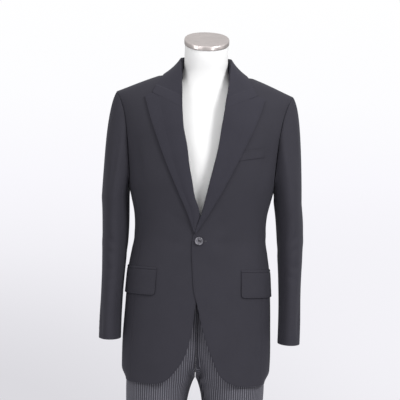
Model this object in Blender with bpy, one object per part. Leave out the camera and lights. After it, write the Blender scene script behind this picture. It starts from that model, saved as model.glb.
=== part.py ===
"""A stroller suit on a limbless dress form: a one-button peak-lapel jacket over striped trousers.

Metres, +Z up. The suit faces -Y, so the wearer's left is +X. The origin is on the floor, under the
middle of the base plate. Every piece of cloth is a wall with an open hollow behind it.
"""
import math
from functools import partial

import bmesh
import bpy
import numpy as np
from mathutils import Matrix, Vector

# ---- cloth ----
CLOTH = 0.002                # wall of the jacket and trousers
SEAM_GAP = 0.0003            # between two pieces that meet at a seam
LAPEL_STAND_OFF = 0.0024     # from a front to the lapel that lies on it
COLLAR_CLOTH = 0.0022
COLLAR_STAND_OFF = 0.0008    # from the fronts and backs to the collar's fall
POCKET_STAND_OFF = 0.0008    # from a panel to a flap, jet or welt

# ---- jacket ----
HEM_Z = 0.787
SHOULDER_TIP = (0.222, 1.4996)     # x, z of the point where shoulder and sleeve meet
SHOULDER_SLOPE = 0.387             # fall of the shoulder seam for each metre outwards
SHOULDER_ROUNDING = 0.03           # the seam's line is rounded off over this width at the neck
SHOULDER_Y = 0.012                 # the shoulder seam lies a little behind the middle
CHEST_REACH = 0.15                 # height over which the front rounds in to the shoulder seam
BLADE_REACH = 0.14                 # the same for the back
RING_POWER = 2.4                   # squareness of the jacket's sections
NECK_POINT_X = 0.0665              # where the shoulder seam meets the collar
BACK_NECK_Z = 1.550
UNDERARM_Z = 1.268
FRONT_CORNER_Z = 1.290             # top of the seam between front and side body
BACK_CORNER_Z = 1.295              # top of the seam between back and side body
OVERLAP_LIFT = 0.0026              # the left front lies this far out over the right one
OVERLAP_REACH = (0.022, 0.060)     # x between which that lift fades away
SIDE_SEAM_TURN = 0.1               # half the gap at the side seams, in degrees
BACK_COLUMNS = (0.0, 0.15, 0.30, 0.48, 0.65, 0.80, 0.91, 1.0)     # parts of the way out to the armhole

# ---- sleeves ----
CUFF_Z = 0.888
SLEEVE_HEAD_Z = 1.235              # where the straight sleeve ends and its cap begins
SLEEVE_SEAM_GAP = 0.0022           # the cap turns over the shoulder, so its wall starts further out
SEAM_TURN = 0.25                   # half the gap at a sleeve's long seams, in degrees
FRONT_SEAM_TURN = 125.0            # degrees from the outward side, forwards
TOPSLEEVE_TURNS = (0.0, 12.0, 28.0, 47.0, 66.0, 86.0, 108.0)      # columns in front of the shoulder tip
TOPSLEEVE_BACK = (1.0, 0.70, 0.42, 0.18)     # columns behind it, as parts of the way to the back seam

# ---- buttons ----
FRONT_BUTTON = dict(radius=0.0100, height=0.0034, hole=0.0011, spread=0.0021)
SLEEVE_BUTTON = dict(radius=0.0073, height=0.0028)
FRONT_BUTTON_AT = (-0.0023, 1.136)
SLEEVE_BUTTON_FIRST_Z = 0.907
SLEEVE_BUTTON_STEP = 0.0158
SLEEVE_BUTTONS = 4
SLEEVE_BUTTON_TURN = 7.0           # degrees from the back seam to the buttons' middles
SLEEVE_BUTTON_STAND_OFF = 0.0008
HOLE_SIDES = 6

# ---- pockets ----
FLAP = dict(top=1.0620, bottom=1.0010, front_x=0.1025, rear_angle=94.0, length=0.155, corner=0.008,
            flare=0.0012)
FLAP_CORNER_STEPS = (0.0, 0.12, 0.4, 1.0)   # columns across a flap's round corner, as parts of it
FLAP_CLOTH = 0.0016
JET_HEIGHT = 0.006
JET_CLOTH = 0.0012
WELT = dict(inner=(0.078, 1.3525), outer=(0.153, 1.3665), height=0.023, lean=0.10)
WELT_CLOTH = 0.0012
WELT_STAND_OFF = 0.0005
LAPEL_ROLL = 0.0012                # extra height of a lapel's soft roll, between its two edges

# ---- trousers ----
WAISTBAND_Z = (1.070, 1.108)

# ---- dress form, pole and base ----
FORM_BOTTOM_Z = 0.848
CAP_BOTTOM_Z = 1.6253
CAP_TILT = 23.5                    # degrees, forwards
NECK_TILT_Z = (1.53, 1.6248)       # heights between which the neck takes on the cap's tilt
FORM_POWER = 2.2                   # squareness of the form's sections
FORM_SIDES = 24
POLE_X = -0.094                    # the pole runs down inside the wearer's right leg
POLE_RADIUS = 0.015
POLE_SIDES = 20
BASE = dict(length=0.40, width=0.34, height=0.010, corner=0.05, corner_steps=6, bevel=0.003,
            bevel_height=0.002)
POLE_COLLAR = dict(radius=0.032, height=0.022, bevel=0.003)


def table(columns, rows):
    """A table with named columns, each read as an array."""
    return dict(zip(columns.split(), np.array(rows, float).T))


JACKET = table("z half_width front back", [
    (0.787, 0.1830, 0.126, 0.130),
    (0.850, 0.1838, 0.125, 0.131),
    (0.930, 0.1822, 0.122, 0.129),
    (1.010, 0.1792, 0.118, 0.124),
    (1.065, 0.1755, 0.115, 0.117),
    (1.100, 0.1698, 0.113, 0.109),
    (1.140, 0.1640, 0.112, 0.101),
    (1.170, 0.1636, 0.113, 0.099),
    (1.200, 0.1660, 0.116, 0.102),
    (1.240, 0.1750, 0.120, 0.110),
    (1.285, 0.1855, 0.123, 0.118),
    (1.340, 0.1925, 0.122, 0.122),
    (1.400, 0.2010, 0.116, 0.121),
    (1.460, 0.2150, 0.108, 0.114),
    (1.500, 0.2320, 0.103, 0.116),
    (1.590, 0.2400, 0.098, 0.122),
])

# One row for each line across a front, from its hem to the shoulder seam. The inner end runs up the
# front edge and the roll line, and the outer one up the side seam.
FRONT_ROWS = table("inner_z inner_left inner_right outer_z", [
    (0.7870, 0.1160, 0.1080, 0.7870),
    (0.7905, 0.0960, 0.0850, 0.7980),
    (0.8000, 0.0745, 0.0670, 0.8130),
    (0.8160, 0.0570, 0.0525, 0.8340),
    (0.8500, 0.0405, 0.0300, 0.8640),
    (0.9000, 0.0205, 0.0150, 0.9060),
    (0.9400, 0.0090, 0.0090, 0.9440),
    (0.9770, 0.0000, 0.0055, 0.9800),
    (1.0180, -0.0110, -0.0050, 1.0200),
    (1.0700, -0.0160, -0.0130, 1.0700),
    (1.1150, -0.0195, -0.0160, 1.1120),
    (1.1450, -0.0175, -0.0160, 1.1430),
    (1.1600, -0.0105, -0.0105, 1.1650),
    (1.1970, -0.0002, -0.0002, 1.2000),
    (1.2400, 0.0112, 0.0163, 1.2430),
    (1.2900, 0.0217, 0.0270, 1.2900),
])
# The same above the underarm, where the outer end runs up the armhole: its place there is a turn.
FRONT_TOP_ROWS = table("inner_z inner_left inner_right turn", [
    (1.3180, 0.0282, 0.0327, 130.0),
    (1.3600, 0.0371, 0.0390, 108.0),
    (1.4120, 0.0440, 0.0500, 86.0),
    (1.4570, 0.0502, 0.0555, 66.0),
    (1.5000, 0.0552, 0.0582, 47.0),
    (1.5350, 0.0604, 0.0604, 28.0),
    (1.5510, 0.0632, 0.0632, 12.0),
    (1.5581, 0.0665, 0.0665, 0.0),
])
BACK_TOP_TURNS = (130.0, 108.0, 86.0, 66.0, 47.0, 28.0, 12.0, 0.0)

# Armhole: x and z at each turn, from the shoulder tip (0) to the two seams under the arm (150).
ARMHOLE_FRONT = table("turn x z", [
    (0, 0.2220, 1.4996), (25, 0.2135, 1.4880), (45, 0.2035, 1.4640), (65, 0.1945, 1.4330),
    (90, 0.1868, 1.3800), (115, 0.1822, 1.3350), (150, 0.1785, 1.2900),
])
ARMHOLE_BACK = table("turn x z", [
    (0, 0.2220, 1.4996), (25, 0.2140, 1.4880), (45, 0.2030, 1.4650), (65, 0.1930, 1.4350),
    (90, 0.1835, 1.3850), (115, 0.1780, 1.3400), (150, 0.1745, 1.2950),
])

# Side seams: degrees from the middle of the front, and from the middle of the back.
SIDE_SEAMS = table("z front back", [
    (0.787, 57.0, 48.0), (1.060, 58.0, 46.0), (1.140, 60.0, 45.0), (1.200, 64.0, 51.0),
    (1.292, 71.9, 66.0),
])

# Roll line (inner) and outer edge of each lapel, as x on its own side at each height.
LAPEL_INNER = table("z left right", [
    (1.1560, -0.0112, 0.0126), (1.1750, -0.0065, 0.0086), (1.1970, -0.0006, 0.0022),
    (1.2120, 0.0032, 0.0044), (1.2400, 0.0097, 0.0148), (1.2820, 0.0187, 0.0236),
    (1.3180, 0.0267, 0.0312), (1.3600, 0.0356, 0.0375), (1.4120, 0.0424, 0.0485),
    (1.4560, 0.0487, 0.0530),
])
LAPEL_OUTER = table("z left right", [
    (1.1560, -0.0090, 0.0146), (1.2000, 0.0178, 0.0315), (1.2600, 0.0508, 0.0590),
    (1.3200, 0.0805, 0.0862), (1.3760, 0.1062, 0.1085), (1.4300, 0.1290, 0.1288),
    (1.4835, 0.1475, 0.1460),
])
GORGE_CORNER = (0.1275, 1.4922)     # where collar, gorge and peak meet

# Collar, from the gorge round to the middle of the back: the fold line and the fall's outer edge.
COLLAR = table("station fold_x fold_y fold_z leaf_x leaf_y leaf_z arch", [
    (1.00, 0.0530, -0.0980, 1.4594, 0.1282, -0.0600, 1.4944, 0.0010),
    (0.88, 0.0562, -0.0850, 1.5020, 0.1220, -0.0500, 1.5100, 0.0015),
    (0.74, 0.0602, -0.0600, 1.5440, 0.1120, -0.0300, 1.5330, 0.0020),
    (0.60, 0.0632, -0.0290, 1.5740, 0.1030, -0.0050, 1.5480, 0.0020),
    (0.48, 0.0642, 0.0050, 1.5880, 0.0985, 0.0200, 1.5500, 0.0020),
    (0.34, 0.0590, 0.0420, 1.5950, 0.0860, 0.0540, 1.5480, 0.0035),
    (0.17, 0.0350, 0.0690, 1.5970, 0.0500, 0.0800, 1.5460, 0.0050),
    (0.00, 0.0000, 0.0800, 1.5975, 0.0000, 0.0890, 1.5450, 0.0055),
])
STAND = table("station foot_x foot_y foot_z", [
    (0.60, 0.0600, -0.0300, 1.5540), (0.48, 0.0650, 0.0080, 1.5600), (0.34, 0.0585, 0.0390, 1.5590),
    (0.17, 0.0362, 0.0620, 1.5550), (0.00, 0.0000, 0.0735, 1.5530),
])
STAND_SHIFT = 0.0030                # from the fold line, inwards and down, to the top of the stand

SLEEVE = table("z centre_left centre_right half_width mid_y half_depth", [
    (0.888, 0.2278, 0.2143, 0.0272, -0.0300, 0.0600),
    (0.940, 0.2280, 0.2150, 0.0272, -0.0245, 0.0615),
    (1.000, 0.2277, 0.2135, 0.0272, -0.0165, 0.0635),
    (1.050, 0.2270, 0.2120, 0.0285, -0.0085, 0.0665),
    (1.100, 0.2255, 0.2115, 0.0310, -0.0010, 0.0700),
    (1.150, 0.2235, 0.2110, 0.0325, 0.0050, 0.0740),
    (1.200, 0.2205, 0.2125, 0.0338, 0.0085, 0.0780),
    (1.235, 0.2165, 0.2145, 0.0348, 0.0100, 0.0810),
])
# The back seam of the sleeve, in degrees behind the outward side, and where it meets the armhole.
SLEEVE_SEAM = table("z turn", [(0.888, 32.0), (1.000, 38.0), (1.120, 52.0), (1.235, 68.0)])
SLEEVE_SEAM_TOP = 74.0
# The cap runs from the tube to the armhole on a cubic. It leaves and arrives this way, by these parts
# of its length; the arrival leans out, along the arm's turn and down.
CAP_LEAVES = dict(lean=-0.03, part=0.30)
CAP_ARRIVES = dict(out=0.35, out_more=0.15, along=-0.45, down=-0.90, down_less=0.05, part=0.17)
CAP_SEAM_DROP = 0.4                # how far down the seam's gap goes for each part outwards, on top

TROUSERS = table("z centre half_width front back mid_y power", [
    (0.045, 0.0940, 0.0640, 0.084, 0.086, 0.012, 1.55),
    (0.150, 0.0940, 0.0650, 0.084, 0.087, 0.009, 1.55),
    (0.300, 0.0935, 0.0670, 0.086, 0.090, 0.002, 1.55),
    (0.470, 0.0930, 0.0700, 0.089, 0.093, -0.004, 1.60),
    (0.620, 0.0930, 0.0730, 0.095, 0.100, -0.002, 1.70),
    (0.735, 0.0935, 0.0756, 0.100, 0.108, 0.000, 1.80),
    (0.770, 0.0905, 0.0805, 0.102, 0.110, 0.000, 1.85),
    (0.790, 0.0868, 0.0848, 0.103, 0.111, 0.000, 1.90),
    (0.806, 0.0810, 0.0910, 0.104, 0.112, 0.000, 1.93),
    (0.830, 0.0670, 0.1055, 0.105, 0.114, 0.000, 1.97),
    (0.870, 0.0400, 0.1320, 0.106, 0.116, 0.000, 2.05),
    (0.910, 0.0150, 0.1555, 0.106, 0.117, 0.000, 2.15),
    (0.950, 0.0000, 0.1690, 0.106, 0.116, 0.000, 2.25),
    (1.000, 0.0000, 0.1670, 0.104, 0.111, 0.000, 2.30),
    (1.040, 0.0000, 0.1620, 0.101, 0.103, 0.000, 2.30),
    (1.070, 0.0000, 0.1570, 0.098, 0.096, 0.000, 2.30),
    (1.108, 0.0000, 0.1520, 0.096, 0.090, 0.000, 2.30),
])
TROUSER_ROW_Z = (0.045, 0.130, 0.220, 0.310, 0.400, 0.490, 0.580, 0.660, 0.725, 0.765, 0.790, 0.806,
                 0.825, 0.850, 0.885, 0.925, 0.970, 1.020, 1.0695)

FORM = table("z half_width front back mid_y", [
    (0.848, 0.1300, 0.072, 0.084, 0.000),
    (0.858, 0.1420, 0.082, 0.095, 0.000),
    (0.900, 0.1520, 0.092, 0.104, 0.000),
    (0.960, 0.1560, 0.095, 0.104, 0.000),
    (1.030, 0.1510, 0.091, 0.094, 0.000),
    (1.100, 0.1400, 0.088, 0.080, 0.000),
    (1.170, 0.1400, 0.092, 0.080, 0.000),
    (1.240, 0.1500, 0.099, 0.088, 0.002),
    (1.310, 0.1600, 0.103, 0.096, 0.004),
    (1.370, 0.1700, 0.099, 0.100, 0.006),
    (1.420, 0.1720, 0.088, 0.096, 0.009),
    (1.455, 0.1600, 0.076, 0.088, 0.011),
    (1.485, 0.1330, 0.067, 0.078, 0.012),
    (1.508, 0.0980, 0.061, 0.069, 0.011),
    (1.528, 0.0700, 0.056, 0.056, 0.006),
    (1.550, 0.0580, 0.054, 0.054, 0.002),
    (1.580, 0.0545, 0.055, 0.054, -0.002),
    (1.604, 0.0542, 0.056, 0.054, -0.005),
    (1.6248, 0.0542, 0.056, 0.054, -0.008),
])
# The neck's section, scaled, at each height above the cap's bottom.
CAP_PROFILE = table("height scale", [
    (0.0000, 1.025), (0.0010, 1.035), (0.0090, 1.035), (0.0110, 1.020), (0.0120, 0.960),
])


# ---------------------------------------------------------------- numbers and curves

def smooth(at, stations, values):
    """The value at a station, on a cubic that runs through the table's rows with their mean slopes."""
    slopes = np.gradient(values, stations)
    at = np.clip(at, min(stations[0], stations[-1]), max(stations[0], stations[-1]))
    if stations[0] > stations[-1]:
        stations, values, slopes = stations[::-1], values[::-1], slopes[::-1]
    row = np.clip(np.searchsorted(stations, at, side="right") - 1, 0, len(stations) - 2)
    step = stations[row + 1] - stations[row]
    part = (at - stations[row]) / step
    rise = part * part * (3 - 2 * part)
    return ((1 - rise) * values[row] + rise * values[row + 1]
            + step * slopes[row] * part * (1 - part) ** 2
            - step * slopes[row + 1] * part * part * (1 - part))


def fade(value, start, end):
    """0 at the start, 1 at the end, with a soft step between them."""
    part = np.clip((value - start) / (end - start), 0, 1)
    return part * part * (3 - 2 * part)


def mix(first, second, part):
    return first + (second - first) * part


def points(x, y, z):
    return np.stack(np.broadcast_arrays(x, y, z), axis=-1).astype(float)


def signed_power(value, power):
    return np.sign(value) * np.abs(value) ** power


# ---------------------------------------------------------------- the jacket's surface

def moved(surface, across, up, lift, outwards):
    """Points of a surface of two parameters, moved along its normal by a lift.

    outwards is 1 where across x up looks out of the garment, and -1 where it looks in.
    """
    step = 1e-5
    across, up = np.broadcast_arrays(np.asarray(across, float), np.asarray(up, float))
    along = surface(across + step, up) - surface(across - step, up)
    rise = surface(across, up + step) - surface(across, up - step)
    normal = np.cross(along, rise)
    normal *= outwards / np.linalg.norm(normal, axis=-1, keepdims=True)
    return surface(across, up) + np.asarray(lift, float)[..., None] * normal


def shoulder_z(x):
    """Height of the shoulder seam: a steady fall from the neck to the tip, rounded off at the neck."""
    out = np.hypot(x, SHOULDER_ROUNDING)
    return SHOULDER_TIP[1] + (math.hypot(SHOULDER_TIP[0], SHOULDER_ROUNDING) - out) * SHOULDER_SLOPE


def jacket_y(x, z, side):
    """Depth of the jacket's front (side -1) or back (side 1) at x and z.

    A section is a superellipse, drawn in to the shoulder seam over the last stretch of its height by a
    quarter of an ellipse.
    """
    half_width = smooth(z, JACKET["z"], JACKET["half_width"])
    depth = smooth(z, JACKET["z"], JACKET["front" if side < 0 else "back"])
    across = np.clip(np.abs(x) / half_width, 0, 1)
    outline = side * depth * (1 - across ** RING_POWER) ** (1 / RING_POWER)
    reach = CHEST_REACH if side < 0 else BLADE_REACH
    below = np.clip((shoulder_z(x) - z) / reach, 0, 1)
    return SHOULDER_Y + (outline - SHOULDER_Y) * np.sqrt(1 - (1 - below) ** 2)


def jacket_point(x, z, side, lift=0.0):
    """A point of the jacket's front or back, moved out along the surface's normal by a lift."""
    return moved(lambda across, up: points(across, jacket_y(across, up, side), up), x, z, lift, -side)


def jacket_ring(angle, z):
    """A point on the jacket's section at height z, at degrees from the middle of the front."""
    turn = np.radians(angle)
    power = 2 / RING_POWER
    half_width = smooth(z, JACKET["z"], JACKET["half_width"])
    facing = np.cos(turn)
    depth = np.where(facing > 0, smooth(z, JACKET["z"], JACKET["front"]),
                     smooth(z, JACKET["z"], JACKET["back"]))
    return points(half_width * signed_power(np.sin(turn), power), -depth * signed_power(facing, power), z)


def jacket_around(angle, z, lift=0.0):
    """The same point, moved out by a lift."""
    return moved(jacket_ring, angle, z, lift, 1)


def angle_at(x, z):
    """Degrees from the middle of the front at which the section at height z passes x."""
    half_width = smooth(z, JACKET["z"], JACKET["half_width"])
    return np.degrees(np.arcsin(np.clip(np.abs(x) / half_width, 0, 1) ** (RING_POWER / 2)))


def x_at(angle, z):
    """The x at which the section at height z passes an angle."""
    half_width = smooth(z, JACKET["z"], JACKET["half_width"])
    return half_width * np.sin(np.radians(angle)) ** (2 / RING_POWER)


def side_seam(z, which):
    return smooth(z, SIDE_SEAMS["z"], SIDE_SEAMS[which])


def underarm_z(angle):
    """Top of the side body: lowest under the arm, rising to the corners of the armhole."""
    front, back = side_seam(FRONT_CORNER_Z, "front"), 180 - side_seam(BACK_CORNER_Z, "back")
    middle = (front + back) / 2
    off_middle = (np.asarray(angle, float) - middle) / (back - middle)
    corner = np.where(off_middle < 0, FRONT_CORNER_Z, BACK_CORNER_Z)
    return UNDERARM_Z + (corner - UNDERARM_Z) * off_middle ** 2


def neckline_z(x):
    """Top of the back: the dip at the nape, then the shoulder seam."""
    dip = mix(BACK_NECK_Z, shoulder_z(NECK_POINT_X), np.clip(np.abs(x) / NECK_POINT_X, 0, 1) ** 2)
    return np.minimum(shoulder_z(x), dip)


def armhole(turn):
    """A point of the left armhole: 0 is the shoulder tip, 90 the front, 180 the underarm, 270 the back."""
    turn = np.asarray(turn, float) % 360
    ahead = np.minimum(turn, 150.0)
    behind = np.minimum(360 - turn, 150.0)
    front_x = smooth(ahead, ARMHOLE_FRONT["turn"], ARMHOLE_FRONT["x"])
    front_z = smooth(ahead, ARMHOLE_FRONT["turn"], ARMHOLE_FRONT["z"])
    back_x = smooth(behind, ARMHOLE_BACK["turn"], ARMHOLE_BACK["x"])
    back_z = smooth(behind, ARMHOLE_BACK["turn"], ARMHOLE_BACK["z"])
    front = points(front_x, jacket_y(front_x, front_z, -1), front_z)
    back = points(back_x, jacket_y(back_x, back_z, 1), back_z)
    corner = side_seam(FRONT_CORNER_Z, "front"), 180 - side_seam(BACK_CORNER_Z, "back")
    under_angle = mix(corner[0], corner[1], np.clip((turn - 150) / 60, 0, 1))
    under = jacket_ring(under_angle, underarm_z(under_angle))
    below = ((turn > 150) & (turn < 210))[..., None]
    return np.where(below, under, np.where((turn <= 150)[..., None], front, back))


# ---------------------------------------------------------------- objects

def material(name, colour, roughness, metallic=0.0):
    made = bpy.data.materials.new(name)
    made.use_nodes = True
    shader = made.node_tree.nodes["Principled BSDF"]
    shader.inputs["Base Color"].default_value = (*colour, 1.0)
    shader.inputs["Roughness"].default_value = roughness
    shader.inputs["Metallic"].default_value = metallic
    made.diffuse_color = (*colour, 1.0)
    return made


JACKET_CLOTH = ("jacket_cloth", (0.035, 0.034, 0.042), 0.85)
TROUSER_CLOTH = ("trouser_cloth", (0.110, 0.108, 0.125), 0.85)
HORN = ("horn", (0.045, 0.043, 0.048), 0.35)
FORM_SKIN = ("form_skin", (0.86, 0.86, 0.85), 0.55)
SATIN_METAL = ("satin_metal", (0.62, 0.58, 0.57), 0.35, 1.0)
STEEL = ("steel", (0.55, 0.55, 0.56), 0.30, 1.0)


def place(name, mesh, finish):
    """Put a mesh in the scene as one named sub-part with its own material."""
    piece = bpy.data.objects.new(name, mesh)
    mesh.materials.append(material(name + "_" + finish[0], *finish[1:]))
    bpy.context.scene.collection.objects.link(piece)
    return piece


def shade(mesh, sharp=40.0):
    mesh.shade_smooth()
    mesh.set_sharp_from_angle(angle=math.radians(sharp))


def wall(name, surface, finish, thickness, side=1):
    """A wall of cloth between a surface and the same surface moved in by the cloth's thickness.

    surface gives rows of points at a lift. Each cell is cut along its outer face's shorter diagonal, on
    both faces, so that the wall keeps its thickness. A rim closes it along the surface's four edges.
    """
    outer, inner = on_side(surface(0.0), side), on_side(surface(-thickness), side)
    row, column = len(outer) // 2, outer.shape[1] // 2
    across = outer[row, column] - outer[row, column - 1]
    along = outer[row, column] - outer[row - 1, column]
    if np.dot(np.cross(across, along), outer[row, column] - inner[row, column]) < 0:
        outer, inner = outer[:, ::-1], inner[:, ::-1]
    shape = bmesh.new()
    front = [[shape.verts.new(point) for point in line] for line in outer]
    back = [[shape.verts.new(point) for point in line] for line in inner]
    for row in range(len(front) - 1):
        for column in range(len(front[0]) - 1):
            cell = ((row, column), (row, column + 1), (row + 1, column + 1), (row + 1, column))
            a, b, c, d = (front[i][j].co for i, j in cell)
            if (a - c).length < (b - d).length:
                halves = (cell[0], cell[1], cell[2]), (cell[0], cell[2], cell[3])
            else:
                halves = (cell[0], cell[1], cell[3]), (cell[1], cell[2], cell[3])
            for half in halves:
                shape.faces.new([front[i][j] for i, j in half])
                shape.faces.new([back[i][j] for i, j in half[::-1]])
    for outside, inside in zip(edge_loop(front), edge_loop(back)):
        shape.faces.new((outside[1], outside[0], inside[0], inside[1]))
    mesh = bpy.data.meshes.new(name)
    shape.to_mesh(mesh)
    shape.free()
    shade(mesh)
    return place(name, mesh, finish)


def edge_loop(grid):
    """The steps along a grid's four edges, in turn, as pairs of corners."""
    loop = grid[0] + [line[-1] for line in grid[1:]] + grid[-1][-2::-1] + [line[0] for line in grid[-2:0:-1]]
    return list(zip(loop, loop[1:] + loop[:1]))


def on_side(grid, side):
    """A grid made for the wearer's left, or its mirror image for the right (side -1)."""
    return grid * np.array((side, 1.0, 1.0))


def cloth_columns(count, crowding):
    """Parts from 0 to 1, closer together towards 1, where a section turns round the side."""
    return np.sin(np.linspace(0, 1, count) * crowding) / math.sin(crowding)


SIDES = (("left", 1), ("right", -1))


# ---------------------------------------------------------------- jacket

def overlap_lift(x, name):
    """How far the left front stands out at the middle, to lie on the right one."""
    lift = OVERLAP_LIFT * (1 - fade(x, *OVERLAP_REACH))
    return lift if name == "left" else np.zeros_like(lift)


def front(name, lift, columns=9):
    """A front, from its edge and roll line to the side seam and the armhole."""
    low, top = FRONT_ROWS, FRONT_TOP_ROWS
    seam_angle = side_seam(low["outer_z"], "front") - SIDE_SEAM_TURN
    hole = armhole(top["turn"])
    inner_x = np.concatenate((low["inner_" + name], top["inner_" + name]))
    inner_z = np.concatenate((low["inner_z"], top["inner_z"]))
    outer_x = np.concatenate((x_at(seam_angle, low["outer_z"]), hole[:, 0] - SEAM_GAP))
    outer_z = np.concatenate((low["outer_z"], hole[:, 2]))
    part = cloth_columns(columns, 1.25)
    x = mix(inner_x[:, None], outer_x[:, None], part)
    z = mix(inner_z[:, None], outer_z[:, None], part)
    row = np.arange(len(x))
    z += (shoulder_z(x[-1]) - z[-1]) * fade(row, row[-4], row[-1])[:, None]
    grid = jacket_point(x, z, -1, overlap_lift(x, name) + lift)
    grid[-1, :, 1] -= SEAM_GAP / 2
    return grid


def seam_rises():
    """How far up the side seams each row of the fronts, sides and backs is, from 0 to 1."""
    return (FRONT_ROWS["outer_z"] - HEM_Z) / (FRONT_CORNER_Z - HEM_Z)


def side_body(lift, columns=6):
    """A side body, under the arm between the front and the back."""
    rise = seam_rises()
    first = side_seam(mix(HEM_Z, FRONT_CORNER_Z, rise), "front") + SIDE_SEAM_TURN
    last = 180 - side_seam(mix(HEM_Z, BACK_CORNER_Z, rise), "back") - SIDE_SEAM_TURN
    angle = mix(first[:, None], last[:, None], np.linspace(0, 1, columns))
    return jacket_around(angle, mix(HEM_Z, underarm_z(angle[-1]), rise[:, None]), lift)


def back(lift):
    """A back, from the centre seam to the side seam and the armhole, up to the neck and shoulder."""
    part = np.array(BACK_COLUMNS)
    low_z = mix(HEM_Z, BACK_CORNER_Z, seam_rises())
    low_x = x_at(side_seam(low_z, "back") - SIDE_SEAM_TURN, low_z)
    hole = armhole(360 - np.array(BACK_TOP_TURNS))
    climb = (hole[:, 2] - BACK_CORNER_Z) / (SHOULDER_TIP[1] - BACK_CORNER_Z)
    top_x = (hole[:, :1] - SEAM_GAP) * part
    top_z = mix(BACK_CORNER_Z, neckline_z(top_x[-1]), climb[:, None])
    x = np.concatenate((low_x[:, None] * part, top_x))
    z = np.concatenate((np.repeat(low_z[:, None], len(part), axis=1), top_z))
    grid = jacket_point(np.maximum(x, SEAM_GAP / 2), z, 1, lift)
    grid[-1, :, 1] += SEAM_GAP / 2
    return grid


def lapel(name, lift, columns=7, rows=15):
    """A lapel: a patch between the roll line and the outer edge, topped by the gorge and the peak."""
    inner, outer = LAPEL_INNER, LAPEL_OUTER
    part = np.linspace(0, 1, rows)
    inner_z = mix(inner["z"][0], inner["z"][-1], part)
    outer_z = mix(outer["z"][0], outer["z"][-1], part)
    inner_x = smooth(inner_z, inner["z"], inner[name])
    outer_x = smooth(outer_z, outer["z"], outer[name])
    across = np.linspace(0, 1, columns)
    x = mix(inner_x[:, None], outer_x[:, None], across)
    z = mix(inner_z[:, None], outer_z[:, None], across)
    # The top line runs straight along the gorge to its corner, and then out to the peak's tip.
    corner = (GORGE_CORNER[0] - inner_x[-1]) / (outer_x[-1] - inner_x[-1])
    gorge = mix(inner_z[-1], GORGE_CORNER[1], across / corner)
    peak = mix(GORGE_CORNER[1], outer_z[-1], (across - corner) / (1 - corner))
    z += (np.where(across < corner, gorge, peak) - z[-1]) * fade(part, 0.55, 1.0)[:, None]
    roll = LAPEL_ROLL * np.sin(math.pi * np.clip(across * 1.6, 0, 1))
    return jacket_point(x, z, -1, overlap_lift(x, name) + LAPEL_STAND_OFF + CLOTH + roll + lift)


def collar_curve(station, prefix):
    """A named line of the collar's table at signed stations, with x on the station's side."""
    around = np.abs(station)
    x, y, z = (smooth(around, COLLAR["station"], COLLAR[prefix + axis]) for axis in ("_x", "_y", "_z"))
    return points(np.sign(station) * x, y, z)


def clear_of_jacket(grid, stand_off):
    """Points moved out, where they have to be, to stand clear of the fronts and backs."""
    x, y, z = np.moveaxis(grid, -1, 0)
    side = np.where(y < SHOULDER_Y, -1.0, 1.0)
    rest = np.where(side[..., None] < 0, jacket_point(x, z, -1, stand_off), jacket_point(x, z, 1, stand_off))
    buried = (z < shoulder_z(x)) & ((y - rest[..., 1]) * side < 0)
    cleared = np.where(buried[..., None], rest, grid)
    over_seam = (np.abs(x) > NECK_POINT_X) & ~buried
    floor = shoulder_z(x) + stand_off * math.hypot(1, SHOULDER_SLOPE)
    near_seam = over_seam & (np.abs(y - SHOULDER_Y) < 0.01)
    cleared[..., 2] = np.where(near_seam, np.maximum(cleared[..., 2], floor), cleared[..., 2])
    return cleared


def grid_normals(grid):
    """The normal at each point of a grid of points, on the side that looks up."""
    normal = np.cross(np.gradient(grid, axis=0), np.gradient(grid, axis=1))
    normal /= np.linalg.norm(normal, axis=-1, keepdims=True)
    middle = normal[len(grid) // 2, grid.shape[1] // 2]
    return normal * np.sign(middle[2])


def collar_fall(lift, rows=25, columns=5):
    """The collar's fall: from the fold line down to its outer edge, arched away from the chord."""
    station = np.linspace(-1, 1, rows)
    fold, leaf = collar_curve(station, "fold"), collar_curve(station, "leaf")
    arch = smooth(np.abs(station), COLLAR["station"], COLLAR["arch"])[:, None, None]
    part = np.linspace(0, 1, columns)[None, :, None]
    chord = mix(fold[:, None], leaf[:, None], part)
    grid = chord + grid_normals(chord) * arch * np.sin(math.pi * part ** 0.7)
    return clear_of_jacket(grid + lift * grid_normals(grid), COLLAR_STAND_OFF + COLLAR_CLOTH + lift)


def collar_stand(lift, rows=17, columns=3):
    """The collar's stand, inside the fold, down to the neck seam."""
    station = np.linspace(-1, 1, rows) * STAND["station"][0]
    around = np.abs(station)
    x, y, z = (smooth(around, STAND["station"], STAND["foot" + axis]) for axis in ("_x", "_y", "_z"))
    foot = points(np.sign(station) * x, y, z)
    fold = collar_curve(station, "fold")
    outwards = fold * np.array((1.0, 1.0, 0.0))
    outwards /= np.linalg.norm(outwards, axis=1, keepdims=True)
    top = fold - STAND_SHIFT * (outwards + np.array((0.0, 0.0, 1.0)))
    grid = mix(top[:, None], foot[:, None], np.linspace(0, 1, columns)[None, :, None])
    return grid + lift * outwards[:, None]


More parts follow.
